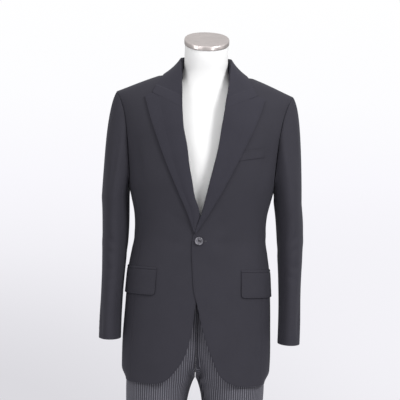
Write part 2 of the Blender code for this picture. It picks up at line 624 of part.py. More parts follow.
def sleeve_point(turn, rise, name):
    """A point of a sleeve: rise 0 to 1 is cuff to head height, and 1 to 2 is the cap to the armhole."""
    turn, rise = np.broadcast_arrays(np.asarray(turn, float), np.asarray(rise, float))
    z = mix(CUFF_Z, SLEEVE_HEAD_Z, np.minimum(rise, 1))
    angle = np.radians(turn)
    centre = smooth(z, SLEEVE["z"], SLEEVE["centre_" + name])
    half_width = smooth(z, SLEEVE["z"], SLEEVE["half_width"])
    mid_y = smooth(z, SLEEVE["z"], SLEEVE["mid_y"])
    half_depth = smooth(z, SLEEVE["z"], SLEEVE["half_depth"])
    tube = points(centre + half_width * np.cos(angle), mid_y - half_depth * np.sin(angle), z)
    apart = points(1.0, 0.0, -CAP_SEAM_DROP * np.maximum(np.cos(angle), 0))
    seam = armhole(turn) + apart * SLEEVE_SEAM_GAP
    end = CAP_ARRIVES
    towards = points(end["out"] + end["out_more"] * np.cos(angle), end["along"] * np.sin(angle),
                     end["down"] + end["down_less"] * np.cos(angle))
    length = np.linalg.norm(seam - tube, axis=-1, keepdims=True)
    leave = tube + length * CAP_LEAVES["part"] * np.array((CAP_LEAVES["lean"], 0.0, 1.0))
    arrive = seam + length * end["part"] * towards
    part = np.clip(rise - 1, 0, 1)[..., None]
    cap = ((1 - part) ** 3 * tube + 3 * part * (1 - part) ** 2 * leave
           + 3 * part ** 2 * (1 - part) * arrive + part ** 3 * seam)
    return np.where(part > 0, cap, tube)


def sleeve(turn, rise, name, lift):
    return moved(lambda across, up: sleeve_point(across, up, name), turn, rise, lift, -1)


def sleeve_rises():
    """The rises of a sleeve's rows: even up the straight part, and again up the cap."""
    return np.concatenate((np.linspace(0, 1, 9), 1 + np.linspace(0, 1, 8)[1:]))[:, None]


def sleeve_back_turn(rise):
    """Turn of the sleeve's back seam at each rise, as degrees below a full turn."""
    z = mix(CUFF_Z, SLEEVE_HEAD_Z, np.clip(rise, 0, 1))
    tube = smooth(z, SLEEVE_SEAM["z"], SLEEVE_SEAM["turn"])
    return tube + (SLEEVE_SEAM_TOP - tube) * fade(rise, 1, 2)


def topsleeve(name, lift):
    """The outer part of a sleeve. Its columns meet the armhole where the front's rows do."""
    rise = sleeve_rises()
    behind = (SEAM_TURN - sleeve_back_turn(rise)) * np.array(TOPSLEEVE_BACK)
    ahead = np.array(TOPSLEEVE_TURNS + (FRONT_SEAM_TURN - SEAM_TURN,))
    turn = np.concatenate((behind, np.broadcast_to(ahead, (len(rise), len(ahead)))), axis=1)
    return sleeve(turn, rise, name, lift)


def undersleeve(name, lift, columns=8):
    rise = sleeve_rises()
    last = 360 - sleeve_back_turn(rise) - SEAM_TURN
    turn = mix(FRONT_SEAM_TURN + SEAM_TURN, last, np.linspace(0, 1, columns))
    return sleeve(turn, rise, name, lift)


def flap_angles(part):
    return mix(angle_at(FLAP["front_x"], FLAP["top"]), FLAP["rear_angle"], part)


def flap(lift, columns=5, rows=3):
    """A hip pocket flap, from its front end round towards the side, with rounded lower corners."""
    end = FLAP["corner"] * np.array(FLAP_CORNER_STEPS)
    middle = np.linspace(FLAP["corner"], FLAP["length"] - FLAP["corner"], columns + 2)[1:-1]
    run = np.concatenate((end, middle, FLAP["length"] - end[::-1]))
    angle = flap_angles(run / FLAP["length"])
    past = np.maximum(FLAP["corner"] - np.minimum(run, FLAP["length"] - run), 0)
    cut = FLAP["corner"] - np.sqrt(FLAP["corner"] ** 2 - past ** 2)
    height = FLAP["top"] - FLAP["bottom"]
    down = np.linspace(0, 1, rows)[:, None] * (height - cut)
    flare = FLAP["flare"] * down / height
    return jacket_around(angle, FLAP["top"] - down, POCKET_STAND_OFF + FLAP_CLOTH + flare + lift)


def jet(lift, columns=9):
    """The jetted edge that shows above a flap."""
    z = FLAP["top"] + SEAM_GAP + np.linspace(0, JET_HEIGHT, 2)[:, None]
    return jacket_around(flap_angles(np.linspace(0, 1, columns)), z, POCKET_STAND_OFF + JET_CLOTH + lift)


def welt(lift, columns=7, rows=3):
    """The breast welt, a slanted band on the left front whose inner end goes under the lapel."""
    part = np.linspace(0, 1, columns)
    x = mix(WELT["inner"][0], WELT["outer"][0], part)
    z = mix(WELT["inner"][1], WELT["outer"][1], part)
    down = np.linspace(0, WELT["height"], rows)[:, None]
    return jacket_point(x - WELT["lean"] * down, z - down, -1, WELT_STAND_OFF + WELT_CLOTH + lift)


# Profile of a button, from the middle of its back round its rim to the middle of its dished face, as
# parts of its radius and height.
BUTTON_PROFILE = ((0.0, 0.0), (0.72, 0.0), (0.96, 0.30), (1.0, 0.62), (0.93, 1.0), (0.80, 0.96),
                  (0.68, 0.62), (0.0, 0.62))


def button(name, spot, facing, size, sides):
    """A turned button: a rimmed disc with a dished face."""
    radius, height = size["radius"], size["height"]
    shape = bmesh.new()
    rings = []
    for part_radius, part_height in BUTTON_PROFILE:
        if part_radius == 0.0:
            rings.append([shape.verts.new((0.0, 0.0, part_height * height))])
            continue
        ring = []
        for step in range(sides):
            turn = 2 * math.pi * step / sides
            ring.append(shape.verts.new((radius * part_radius * math.cos(turn),
                                         radius * part_radius * math.sin(turn),
                                         part_height * height)))
        rings.append(ring)
    for low, high in zip(rings, rings[1:]):
        for step in range(sides):
            after = (step + 1) % sides
            if len(low) == 1:
                shape.faces.new((low[0], high[after], high[step]))
            elif len(high) == 1:
                shape.faces.new((low[step], low[after], high[0]))
            else:
                shape.faces.new((low[step], low[after], high[after], high[step]))
    bmesh.ops.recalc_face_normals(shape, faces=shape.faces)
    mesh = bpy.data.meshes.new(name)
    shape.to_mesh(mesh)
    shape.free()
    shade(mesh, 50.0)
    piece = place(name, mesh, HORN)
    turned = Vector(facing).to_track_quat("Z", "Y").to_matrix().to_4x4()
    piece.matrix_world = Matrix.Translation(Vector(spot)) @ turned
    return piece


def drill(piece, size):
    """Cut a button's four holes with one guide each."""
    for number in range(4):
        turn = math.pi / 4 + number * math.pi / 2
        shape = bmesh.new()
        bmesh.ops.create_cone(shape, cap_ends=True, segments=HOLE_SIDES, radius1=size["hole"],
                              radius2=size["hole"], depth=size["height"] * 3)
        spot = (size["spread"] * math.cos(turn), size["spread"] * math.sin(turn), size["height"] / 2)
        bmesh.ops.translate(shape, vec=spot, verts=shape.verts)
        mesh = bpy.data.meshes.new(piece.name + "_drill")
        shape.to_mesh(mesh)
        shape.free()
        guide = bpy.data.objects.new("%s_drill_%d" % (piece.name, number), mesh)
        bpy.context.scene.collection.objects.link(guide)
        guide.matrix_world = piece.matrix_world
        guide.hide_render = True
        guide.display_type = "WIRE"
        cut = piece.modifiers.new("hole_%d" % number, "BOOLEAN")
        cut.operation = "DIFFERENCE"
        cut.object = guide


def jacket():
    for name, side in SIDES:
        wall("front_" + name, partial(front, name), JACKET_CLOTH, CLOTH, side)
        wall("side_body_" + name, side_body, JACKET_CLOTH, CLOTH, side)
        wall("back_" + name, back, JACKET_CLOTH, CLOTH, side)
        wall("lapel_" + name, partial(lapel, name), JACKET_CLOTH, CLOTH, side)
        wall("topsleeve_" + name, partial(topsleeve, name), JACKET_CLOTH, CLOTH, side)
        wall("undersleeve_" + name, partial(undersleeve, name), JACKET_CLOTH, CLOTH, side)
        wall("hip_flap_" + name, flap, JACKET_CLOTH, FLAP_CLOTH, side)
        wall("hip_jet_" + name, jet, JACKET_CLOTH, JET_CLOTH, side)
    wall("breast_welt", welt, JACKET_CLOTH, WELT_CLOTH)
    wall("collar_fall", collar_fall, JACKET_CLOTH, COLLAR_CLOTH)
    wall("collar_stand", collar_stand, JACKET_CLOTH, COLLAR_CLOTH)


def buttons():
    x, z = FRONT_BUTTON_AT
    foot, tip = (jacket_point(x, z, -1, OVERLAP_LIFT + SEAM_GAP + out) for out in (0.0, 0.01))
    drill(button("front_button", foot, tip - foot, FRONT_BUTTON, 20), FRONT_BUTTON)
    for name, side in SIDES:
        for number in range(SLEEVE_BUTTONS):
            z = SLEEVE_BUTTON_FIRST_Z + number * SLEEVE_BUTTON_STEP
            rise = (z - CUFF_Z) / (SLEEVE_HEAD_Z - CUFF_Z)
            turn = SLEEVE_BUTTON_TURN - sleeve_back_turn(rise)
            foot, tip = (on_side(sleeve(turn, rise, name, out), side)
                         for out in (SLEEVE_BUTTON_STAND_OFF, 0.01))
            button("sleeve_button_%s_%d" % (name, number + 1), foot, tip - foot, SLEEVE_BUTTON, 12)


# ---------------------------------------------------------------- trousers

def trouser_ring(turn, z):
    """A point of the left half of the trousers: turn 0 is its front, 90 its outer side, -90 its inner.

    A section is a superellipse about the leg's own middle, sharper towards the hem, where the crease
    is. Above the fork the middle moves in to the centre seam, where each half ends.
    """
    facing, part = np.cos(np.radians(turn)), np.sin(np.radians(turn))
    centre = smooth(z, TROUSERS["z"], TROUSERS["centre"])
    half_width = smooth(z, TROUSERS["z"], TROUSERS["half_width"])
    depth = np.where(facing > 0, smooth(z, TROUSERS["z"], TROUSERS["front"]),
                     smooth(z, TROUSERS["z"], TROUSERS["back"]))
    power = smooth(z, TROUSERS["z"], TROUSERS["power"])
    bulge = (1 - np.abs(part) ** power) ** (1 / (0.5 * power + 1.0))
    mid_y = smooth(z, TROUSERS["z"], TROUSERS["mid_y"])
    return points(centre + half_width * part, mid_y - np.sign(facing) * depth * bulge, z)


def inner_turn(z):
    """The turn at which a section reaches the centre seam, or -90 where the leg stands free."""
    centre = smooth(z, TROUSERS["z"], TROUSERS["centre"])
    half_width = smooth(z, TROUSERS["z"], TROUSERS["half_width"])
    return np.degrees(np.arcsin(np.clip((SEAM_GAP / 2 - centre) / half_width, -1, 1)))


def trouser_panel(side, lift, columns=9):
    """The front (side -1) or back (side 1) of the left leg, from the waist seam to the hem."""
    z = np.array(TROUSER_ROW_Z)[:, None]
    turn = mix(90.0, inner_turn(z), np.linspace(0, 1, columns))
    grid = moved(trouser_ring, turn if side < 0 else 180 - turn, z, lift, 1)
    grid[..., 1] += side * SEAM_GAP / 2
    return grid


def waistband(lift, columns=17):
    z = np.linspace(WAISTBAND_Z[0], WAISTBAND_Z[1], 3)[:, None]
    first = inner_turn(z)
    return moved(trouser_ring, mix(first, 180 - first, np.linspace(0, 1, columns)), z, lift, 1)


def trousers():
    for name, side in SIDES:
        wall("trouser_front_" + name, partial(trouser_panel, -1), TROUSER_CLOTH, CLOTH, side)
        wall("trouser_back_" + name, partial(trouser_panel, 1), TROUSER_CLOTH, CLOTH, side)
        wall("waistband_" + name, waistband, TROUSER_CLOTH, CLOTH, side)


# ---------------------------------------------------------------- dress form, pole and base

def loft(name, rings, finish):
    """A closed body through a stack of rings, with a flat cap at each end."""
    shape = bmesh.new()
    loops = [[shape.verts.new(point) for point in ring] for ring in rings]
    for low, high in zip(loops, loops[1:]):
        for step in range(len(low)):
            after = (step + 1) % len(low)
            shape.faces.new((low[step], low[after], high[after], high[step]))
    shape.faces.new(loops[0][::-1])
    shape.faces.new(loops[-1])
    mesh = bpy.data.meshes.new(name)
    shape.to_mesh(mesh)
    shape.free()
    shade(mesh)
    return place(name, mesh, finish)


def form_ring(z, tilt=0.0):
    """A section of the form. Its top is tilted forwards, about the neck's middle."""
    turn = np.arange(FORM_SIDES) * 2 * math.pi / FORM_SIDES
    depth = np.where(np.sin(turn) < 0, smooth(z, FORM["z"], FORM["front"]),
                     smooth(z, FORM["z"], FORM["back"]))
    x = smooth(z, FORM["z"], FORM["half_width"]) * signed_power(np.cos(turn), 2 / FORM_POWER)
    y = depth * signed_power(np.sin(turn), 2 / FORM_POWER)
    return points(x, smooth(z, FORM["z"], FORM["mid_y"]) + y, z + y * math.tan(math.radians(tilt)))


def dress_form():
    tilts = CAP_TILT * fade(FORM["z"], *NECK_TILT_Z)
    loft("form_torso", [form_ring(z, tilt) for z, tilt in zip(FORM["z"], tilts)], FORM_SKIN)
    neck = form_ring(FORM["z"][-1])
    middle = np.array((0.0, FORM["mid_y"][-1], 0.0))
    cap = []
    for height, scale in zip(CAP_PROFILE["height"], CAP_PROFILE["scale"]):
        ring = middle + (neck - middle) * np.array((scale, scale, 0.0))
        lean = (ring[:, 1] - middle[1]) * math.tan(math.radians(CAP_TILT))
        ring[:, 2] = CAP_BOTTOM_Z + height + lean
        cap.append(ring)
    loft("neck_cap", cap, SATIN_METAL)


def pole_ring(radius, z):
    turn = np.arange(POLE_SIDES) * 2 * math.pi / POLE_SIDES
    return points(POLE_X + radius * np.cos(turn), radius * np.sin(turn), z)


def stand():
    """The pole, and the collar that holds it on the base plate."""
    bottom = BASE["height"] + SEAM_GAP
    top = bottom + POLE_COLLAR["height"]
    radius, bevel = POLE_COLLAR["radius"], POLE_COLLAR["bevel"]
    loft("pole", [pole_ring(POLE_RADIUS, z) for z in (bottom, FORM_BOTTOM_Z - SEAM_GAP)], STEEL)
    collar = loft("pole_collar", [pole_ring(radius, bottom), pole_ring(radius, top - bevel),
                                  pole_ring(radius - bevel, top)], STEEL)
    bore = loft("pole_collar_bore", [pole_ring(POLE_RADIUS + SEAM_GAP, z)
                                     for z in (bottom - bevel, top + bevel)], STEEL)
    bore.hide_render = True
    bore.display_type = "WIRE"
    cut = collar.modifiers.new("bore", "BOOLEAN")
    cut.operation = "DIFFERENCE"
    cut.object = bore


def base_plate():
    """A flat plate with round corners and a small bevel round its top."""
    half_length, half_width, corner = BASE["length"] / 2, BASE["width"] / 2, BASE["corner"]
    outline = []
    for quarter, (sx, sy) in enumerate(((1, 1), (-1, 1), (-1, -1), (1, -1))):
        for step in range(BASE["corner_steps"] + 1):
            turn = math.pi / 2 * (quarter + step / BASE["corner_steps"])
            outline.append((sx * (half_length - corner) + corner * math.cos(turn),
                            sy * (half_width - corner) + corner * math.sin(turn)))
    outline = np.array(outline)
    inner = outline * (1 - BASE["bevel"] / np.array((half_length, half_width)))
    rings = [points(outline[:, 0], outline[:, 1], 0.0),
             points(outline[:, 0], outline[:, 1], BASE["height"] - BASE["bevel_height"]),
             points(inner[:, 0], inner[:, 1], BASE["height"])]
    loft("base_plate", rings, STEEL)


def clear_scene():
    for old in list(bpy.data.objects):
        bpy.data.objects.remove(old, do_unlink=True)


def main():
    clear_scene()
    jacket()
    buttons()
    trousers()
    dress_form()
    base_plate()
    stand()


main()
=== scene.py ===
"""Looks of a stroller suit on a dress form: peak-lapel jacket over striped trousers.

Every piece of cloth is a fine wall on the surface of its solid, with soft creases, rolled edges and
pressed seams. Metres, +Z up. The suit faces -Y, and the wearer's left is +X.
"""

import math
from functools import partial

import bpy
import numpy as np
from mathutils import Euler, Matrix, Vector


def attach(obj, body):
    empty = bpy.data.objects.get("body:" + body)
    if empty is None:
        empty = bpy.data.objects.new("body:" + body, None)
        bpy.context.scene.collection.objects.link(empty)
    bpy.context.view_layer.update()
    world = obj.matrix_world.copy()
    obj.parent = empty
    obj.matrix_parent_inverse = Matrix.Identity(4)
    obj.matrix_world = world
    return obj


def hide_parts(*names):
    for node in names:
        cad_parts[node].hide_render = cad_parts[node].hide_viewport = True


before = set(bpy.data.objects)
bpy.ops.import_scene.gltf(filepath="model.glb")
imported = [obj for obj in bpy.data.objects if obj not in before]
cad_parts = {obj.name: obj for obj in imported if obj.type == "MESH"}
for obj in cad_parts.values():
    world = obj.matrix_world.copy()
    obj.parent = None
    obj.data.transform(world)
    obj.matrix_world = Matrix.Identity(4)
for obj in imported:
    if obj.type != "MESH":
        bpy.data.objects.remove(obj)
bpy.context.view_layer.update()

# ---- sizes, as in the solids ----
HEM_Z = 0.787
SHOULDER_TIP = (0.222, 1.4996)
SHOULDER_SLOPE = 0.387
SHOULDER_ROUNDING = 0.03
SHOULDER_Y = 0.012
CHEST_REACH = 0.15
BLADE_REACH = 0.14
RING_POWER = 2.4
NECK_POINT_X = 0.0665
BACK_NECK_Z = 1.550
UNDERARM_Z = 1.268
FRONT_CORNER_Z = 1.290
BACK_CORNER_Z = 1.295
BACK_SPLIT = 0.66                   # the share of a back's height below the corner of the armhole
CROWDING = 1.25                     # radians of a sine, along which columns draw together
OVERLAP_LIFT = 0.0026
OVERLAP_REACH = (0.022, 0.060)
LAPEL_LIFT = 0.0044
LAPEL_SWELL = 0.0016
COLLAR_LIFT = 0.0030
COLLAR_FOLD = 0.0021
STAND_SHIFT = 0.0030                # from the fold line, inwards and down, to the top of the stand
GORGE_CORNER = (0.1275, 1.4922)     # where collar, gorge and peak meet
CUFF_Z = 0.888
SLEEVE_HEAD_Z = 1.235
SLEEVE_GAP = 0.0003
SLEEVE_SEAM_TOP = 74.0
FRONT_SEAM_TURN = 125.0
FLAP = dict(top=1.0620, bottom=1.0010, front_x=0.1025, rear_angle=94.0, length=0.155, corner=0.008,
            lift=0.0024, flare=0.0012)
JET = dict(gap=0.0001, height=0.006, lift=0.0020, swell=0.0006)
WELT = dict(inner=(0.078, 1.3525), outer=(0.153, 1.3665), height=0.023, lean=0.10, lift=0.0017)
FRONT_BUTTON_AT = (-0.0023, 1.136)
CUFF_BUTTONS = dict(first_z=0.907, apart=0.0158, turn=7.0)
LEG_Z = (0.045, 1.0695)
WAISTBAND_Z = (1.0701, 1.108)
LEG_MIDDLE_X = 0.0940               # the pressed crease, and above the fork the same line of the cloth
FORM_POWER = 2.2
CAP_BOTTOM_Z = 1.6253
CAP_TILT = 23.5
NECK_TILT_Z = (1.53, 1.6248)
POLE_X = -0.094
POLE_RADIUS = 0.015
SIDES = (("left", 1), ("right", -1))

# ---- finish of the cloth ----
CLOTH = 0.0019                      # wall of a panel
TRIM_CLOTH = 0.0012                 # wall of a jet and the welt
FLAP_CLOTH = 0.0015
LAPEL_CLOTH = 0.0017
COLLAR_CLOTH = 0.0018
BORDER = 0.0009                     # the closer columns and rows along a panel's edges
ROLL = 0.0022                       # radius of the lapel's fold
SEAM_TURN_IN = 0.0004               # radius to which a pressed seam's edges turn in
SEAM_DIP = 0.00045                  # how far the cloth beside a seam is pressed down
SEAM_PRESS = 0.0016                 # over this distance
FOLDED_DIP = 0.0001                 # the same dip on the lapels and the collar's fall
SEAM_GAP = 0.00005                  # from a seam to its cloth
FORK_GAP = 0.00008                  # from the middle to the legs' inner seams
GORGE_GAP = 0.00012                 # between the collar's ends and the lapels, square to the seam
GORGE_SQUARE = (-0.42, 0.0, 0.91)   # the way square to the left gorge seam
GORGE_LOOSE = 0.22                  # the last part of the gorge's width, by the peak, isn't sewn down
FOLD_SHARE = 0.12                   # the parameter's first share goes round the fold
STITCH_IN = 0.0035                  # from an edge to its row of pick stitches
STITCH_STEP = 0.0060
STRIPE = 0.0054
FORK_FOLD = dict(left=0.0110, right=0.0035)     # depth of the fold inside each leg
HEM_TURN = dict(depth=0.013, begins=0.160, full=0.192, height=0.034)    # the hem, turned in at the sides
FREE, SEAM, HIDDEN = "free", "seam", "hidden"
PANEL = (SEAM, SEAM, FREE, SEAM)


def table(columns, text):
    """An array for each named column of a table. Commas part its rows."""
    rows = np.array([row.split() for row in text.split(",")], float)
    return dict(zip(columns.split(), rows.T))


JACKET = table("z half_width front back", """
    .787 .183 .126 .13, .85 .1838 .125 .131, .93 .1822 .122 .129, 1.01 .1792 .118 .124, 1.065 .1755 .115 .117,
    1.1 .1698 .113 .109, 1.14 .164 .112 .101, 1.17 .1636 .113 .099, 1.2 .166 .116 .102, 1.24 .175 .12 .11,
    1.285 .1855 .123 .118, 1.34 .1925 .122 .122, 1.4 .201 .116 .121, 1.46 .215 .108 .114, 1.5 .232 .103 .116,
    1.59 .24 .098 .122""")

# One row for each line across a front, from its hem to the shoulder seam. The inner end runs up the
# front edge and the roll line, and the outer one up the side seam.
FRONT_ROWS = table("inner_z inner_left inner_right outer_z", """
    .787 .116 .108 .787, .7905 .096 .085 .798, .8 .0745 .067 .813, .816 .057 .0525 .834, .85 .0405 .03 .864,
    .9 .0205 .015 .906, .94 .009 .009 .944, .977 0 .0055 .98, 1.018 -.011 -.005 1.02, 1.07 -.016 -.013 1.07,
    1.115 -.0195 -.016 1.112, 1.145 -.0175 -.016 1.143, 1.16 -.0105 -.0105 1.165, 1.197 -.0002 -.0002 1.2,
    1.24 .0112 .0163 1.243, 1.29 .0217 .027 1.29""")
# The same above the underarm, where the outer end runs up the armhole: its place there is a turn.
FRONT_TOP_ROWS = table("inner_z inner_left inner_right turn", """
    1.318 .0282 .0327 130, 1.36 .0371 .039 108, 1.412 .044 .05 86, 1.457 .0502 .0555 66, 1.5 .0552 .0582 47,
    1.535 .0604 .0604 28, 1.551 .0632 .0632 12, 1.5581 .0665 .0665 0""")

# Armhole: x and z at each turn, from the shoulder tip (0) to the two seams under the arm.
UNDER_TURN = 150.0
ARMHOLE_FRONT = table("turn x z", """
    0 .222 1.4996, 25 .2135 1.488, 45 .2035 1.464, 65 .1945 1.433, 90 .1868 1.38, 115 .1822 1.335,
    150 .1785 1.29""")
ARMHOLE_BACK = table("turn x z", """
    0 .222 1.4996, 25 .214 1.488, 45 .203 1.465, 65 .193 1.435, 90 .1835 1.385, 115 .178 1.34,
    150 .1745 1.295""")

# Side seams: degrees from the middle of the front, and from the middle of the back.
SIDE_SEAMS = table("z front back", """
    .787 57 48, 1.06 58 46, 1.14 60 45, 1.2 64 51, 1.292 71.9 66""")

# Roll line (inner) and outer edge of each lapel, as x on its own side at each height.
LAPEL_INNER = table("z left right", """
    1.156 -.0112 .0126, 1.175 -.0065 .0086, 1.197 -.0006 .0022, 1.212 .0032 .0044, 1.24 .0097 .0148,
    1.282 .0187 .0236, 1.318 .0267 .0312, 1.36 .0356 .0375, 1.412 .0424 .0485, 1.456 .0487 .053""")
LAPEL_OUTER = table("z left right", """
    1.156 -.009 .0146, 1.2 .0178 .0315, 1.26 .0508 .059, 1.32 .0805 .0862, 1.376 .1062 .1085, 1.43 .129 .1288,
    1.4835 .1475 .146""")

# Collar, from the gorge round to the middle of the back: the fold line and the fall's outer edge.
COLLAR = table("station fold_x fold_y fold_z leaf_x leaf_y leaf_z arch", """
    1 .053 -.098 1.4594 .1282 -.06 1.4944 .001, .88 .0562 -.085 1.502 .122 -.05 1.51 .0015,
    .74 .0602 -.06 1.544 .112 -.03 1.533 .0008, .6 .0632 -.029 1.574 .103 -.005 1.548 -.0006,
    .48 .0642 .005 1.588 .0985 .02 1.55 -.001, .34 .059 .042 1.595 .086 .054 1.548 .0005,
    .17 .035 .069 1.597 .05 .08 1.546 .004, 0 0 .08 1.5975 0 .089 1.545 .0055""")
STAND = table("station foot_x foot_y foot_z", """
    .76 .059 -.057 1.523, .6 .06 -.03 1.554, .48 .065 .008 1.56, .34 .0585 .039 1.559, .17 .0362 .062 1.555,
    0 0 .0735 1.553""")

SLEEVE = table("z centre_left centre_right half_width mid_y half_depth", """
    .888 .2278 .2143 .0272 -.03 .06, .94 .228 .215 .0272 -.0245 .0615, 1 .2277 .2135 .0272 -.0165 .0635,
    1.05 .227 .212 .0285 -.0085 .0665, 1.1 .2255 .2115 .031 -.001 .07, 1.15 .2235 .211 .0325 .005 .074,
    1.2 .2205 .2125 .0338 .0085 .078, 1.235 .2165 .2145 .0348 .01 .081""")
# The back seam of the sleeve, in degrees behind the outward side, and where it meets the armhole.
SLEEVE_SEAM = table("z turn", """
    .888 32, 1 38, 1.12 52, 1.235 68""")
# The cap of a sleeve runs from the tube to the armhole on a cubic. It leaves the tube along the first
# way, and comes from the armhole along the sum of the others, the second of them times the cosine and
# the third times the sine of the arm's turn. The ways are parts of the cap's length.
CAP_LEAVES = 0.30 * np.array((-0.03, 0.0, 1.0))
CAP_ARRIVES = 0.17 * np.array(((0.35, 0.0, -0.90), (0.15, 0.0, 0.05), (0.0, -0.45, 0.0)))
CAP_SEAM_DROP = 0.4                 # how far down the seam's gap goes for each part outwards, on top

TROUSERS = table("z centre half_width front back mid_y power", """
    .045 .094 .064 .084 .086 .012 1.55, .15 .094 .065 .084 .087 .009 1.55, .3 .0935 .067 .086 .09 .002 1.55,
    .47 .093 .07 .089 .093 -.004 1.6, .62 .093 .073 .095 .1 -.002 1.7, .735 .0935 .0756 .1 .108 0 1.8,
    .77 .0905 .0805 .102 .11 0 1.85, .79 .0868 .0848 .103 .111 0 1.9, .806 .081 .091 .104 .112 0 1.93,
    .83 .067 .1055 .105 .114 0 1.97, .87 .04 .132 .106 .116 0 2.05, .91 .015 .1555 .106 .117 0 2.15,
    .95 0 .169 .106 .116 0 2.25, 1 0 .167 .104 .111 0 2.3, 1.04 0 .162 .101 .103 0 2.3,
    1.07 0 .157 .098 .096 0 2.3, 1.108 0 .152 .096 .09 0 2.3""")
FORM = table("z half_width front back mid_y", """
    .848 .13 .072 .084 0, .858 .142 .082 .095 0, .9 .152 .092 .104 0, .96 .156 .095 .104 0,
    1.03 .151 .091 .094 0, 1.1 .14 .088 .08 0, 1.17 .14 .092 .08 0, 1.24 .15 .099 .088 .002,
    1.31 .16 .103 .096 .004, 1.37 .17 .099 .1 .006, 1.42 .172 .088 .096 .009, 1.455 .16 .076 .088 .011,
    1.485 .133 .067 .078 .012, 1.508 .098 .061 .069 .011, 1.528 .07 .056 .056 .006, 1.55 .058 .054 .054 .002,
    1.58 .0545 .055 .054 -.002, 1.604 .0542 .056 .054 -.005, 1.6248 .0542 .056 .054 -.008""")
# The neck's section, scaled, at each height above the cap's bottom: a rolled rim, then a top that is
# almost flat, with a shallow turned step near its edge.
CAP_PROFILE = table("height scale", """
    0 1.012, .0002 1.024, .0007 1.031, .0015 1.035, .003 1.036, .006 1.036, .0085 1.036, .0098 1.033,
    .0108 1.026, .0114 1.014, .0117 .998, .0116 .975, .0112 .955, .011 .935, .0112 .9, .0116 .8, .012 .6,
    .0123 .3""")


# ---- numbers ----

def smooth(at, stations, values):
    """The value at a station, on a cubic that runs through the table's rows with their mean slopes."""
    slopes = np.gradient(values, stations)
    at = np.clip(at, min(stations[0], stations[-1]), max(stations[0], stations[-1]))
    if stations[0] > stations[-1]:
        stations, values, slopes = stations[::-1], values[::-1], slopes[::-1]
    row = np.clip(np.searchsorted(stations, at, side="right") - 1, 0, len(stations) - 2)
    step = stations[row + 1] - stations[row]
    part = (at - stations[row]) / step
    rise = part * part * (3 - 2 * part)
    return ((1 - rise) * values[row] + rise * values[row + 1]
            + step * slopes[row] * part * (1 - part) ** 2
            - step * slopes[row + 1] * part * part * (1 - part))


def read(rows, at, *columns):
    """Columns of a table, at a station in its first column."""
    stations = next(iter(rows.values()))
    values = [smooth(at, stations, rows[column]) for column in columns]
    return values if len(values) > 1 else values[0]


def fade(value, start, end):
    """0 at the start, 1 at the end, with a soft step between them."""
    part = np.clip((value - start) / (end - start), 0, 1)
    return part * part * (3 - 2 * part)


def mix(first, second, part):
    return first + (second - first) * part


def points(x, y, z):
    return np.stack(np.broadcast_arrays(x, y, z), axis=-1).astype(float)


def signed_power(value, power):
    return np.sign(value) * np.abs(value) ** power


def unit(vectors):
    """Vectors made one long."""
    return vectors / np.linalg.norm(vectors, axis=-1, keepdims=True)


def mirror(side):
    """Multiplies a point so that it lies on a side of the suit."""
    return np.array((side, 1.0, 1.0))


def circle(count):
    """Even turns round a circle, in radians."""
    return np.linspace(0, 2 * math.pi, count, endpoint=False)


def moved(surface, across, up, lift, outwards):
    """Points of a surface of two parameters, moved along its normal by a lift.

    outwards is 1 where across x up looks out of the garment, and -1 where it looks in.
    """
    step = 1e-5
    across, up = np.broadcast_arrays(np.asarray(across, float), np.asarray(up, float))
    normal = np.cross(surface(across + step, up) - surface(across - step, up),
                      surface(across, up + step) - surface(across, up - step))
    return surface(across, up) + np.asarray(lift, float)[..., None] * outwards * unit(normal)


# ---- the jacket's surface ----

def shoulder_z(x):
    """Height of the shoulder seam: a steady fall from the neck to the tip, rounded off at the neck."""
    out = np.hypot(x, SHOULDER_ROUNDING)
    return SHOULDER_TIP[1] + (math.hypot(SHOULDER_TIP[0], SHOULDER_ROUNDING) - out) * SHOULDER_SLOPE


def jacket_y(x, z, side):
    """Depth of the jacket's front (side -1) or back (side 1) at x and z.

    A section is a superellipse, drawn in to the shoulder seam over the last stretch of its height by a
    quarter of an ellipse.
    """
    half_width, depth = read(JACKET, z, "half_width", "front" if side < 0 else "back")
    across = np.clip(np.abs(x) / half_width, 0, 1)
    outline = side * depth * (1 - across ** RING_POWER) ** (1 / RING_POWER)
    below = np.clip((shoulder_z(x) - z) / (CHEST_REACH if side < 0 else BLADE_REACH), 0, 1)
    return SHOULDER_Y + (outline - SHOULDER_Y) * np.sqrt(1 - (1 - below) ** 2)


def jacket_point(x, z, side, lift=0.0):
    """A point of the jacket's front or back, moved out along the surface's normal by a lift."""
    return moved(lambda across, up: points(across, jacket_y(across, up, side), up), x, z, lift, -side)


def jacket_ring(angle, z):
    """A point on the jacket's section at height z, at degrees from the middle of the front."""
    turn, power = np.radians(angle), 2 / RING_POWER
    half_width, ahead, behind = read(JACKET, z, "half_width", "front", "back")
    depth = np.where(np.cos(turn) > 0, ahead, behind)
    x, y = half_width * signed_power(np.sin(turn), power), -depth * signed_power(np.cos(turn), power)
    return points(x, y, z)


def jacket_around(angle, z, lift=0.0):
    """The same point, moved out by a lift."""
    return moved(jacket_ring, angle, z, lift, 1)


def angle_at(x, z):
    """Degrees from the middle of the front at which the section at height z passes x."""
    share = np.clip(np.abs(x) / read(JACKET, z, "half_width"), 0, 1)
    return np.degrees(np.arcsin(share ** (RING_POWER / 2)))


def x_at(angle, z):
    """The x at which the section at height z passes an angle."""
    return read(JACKET, z, "half_width") * np.sin(np.radians(angle)) ** (2 / RING_POWER)


# The corners of the armhole, in degrees from the middle of the front.
CORNER_ANGLES = (read(SIDE_SEAMS, FRONT_CORNER_Z, "front"), 180 - read(SIDE_SEAMS, BACK_CORNER_Z, "back"))


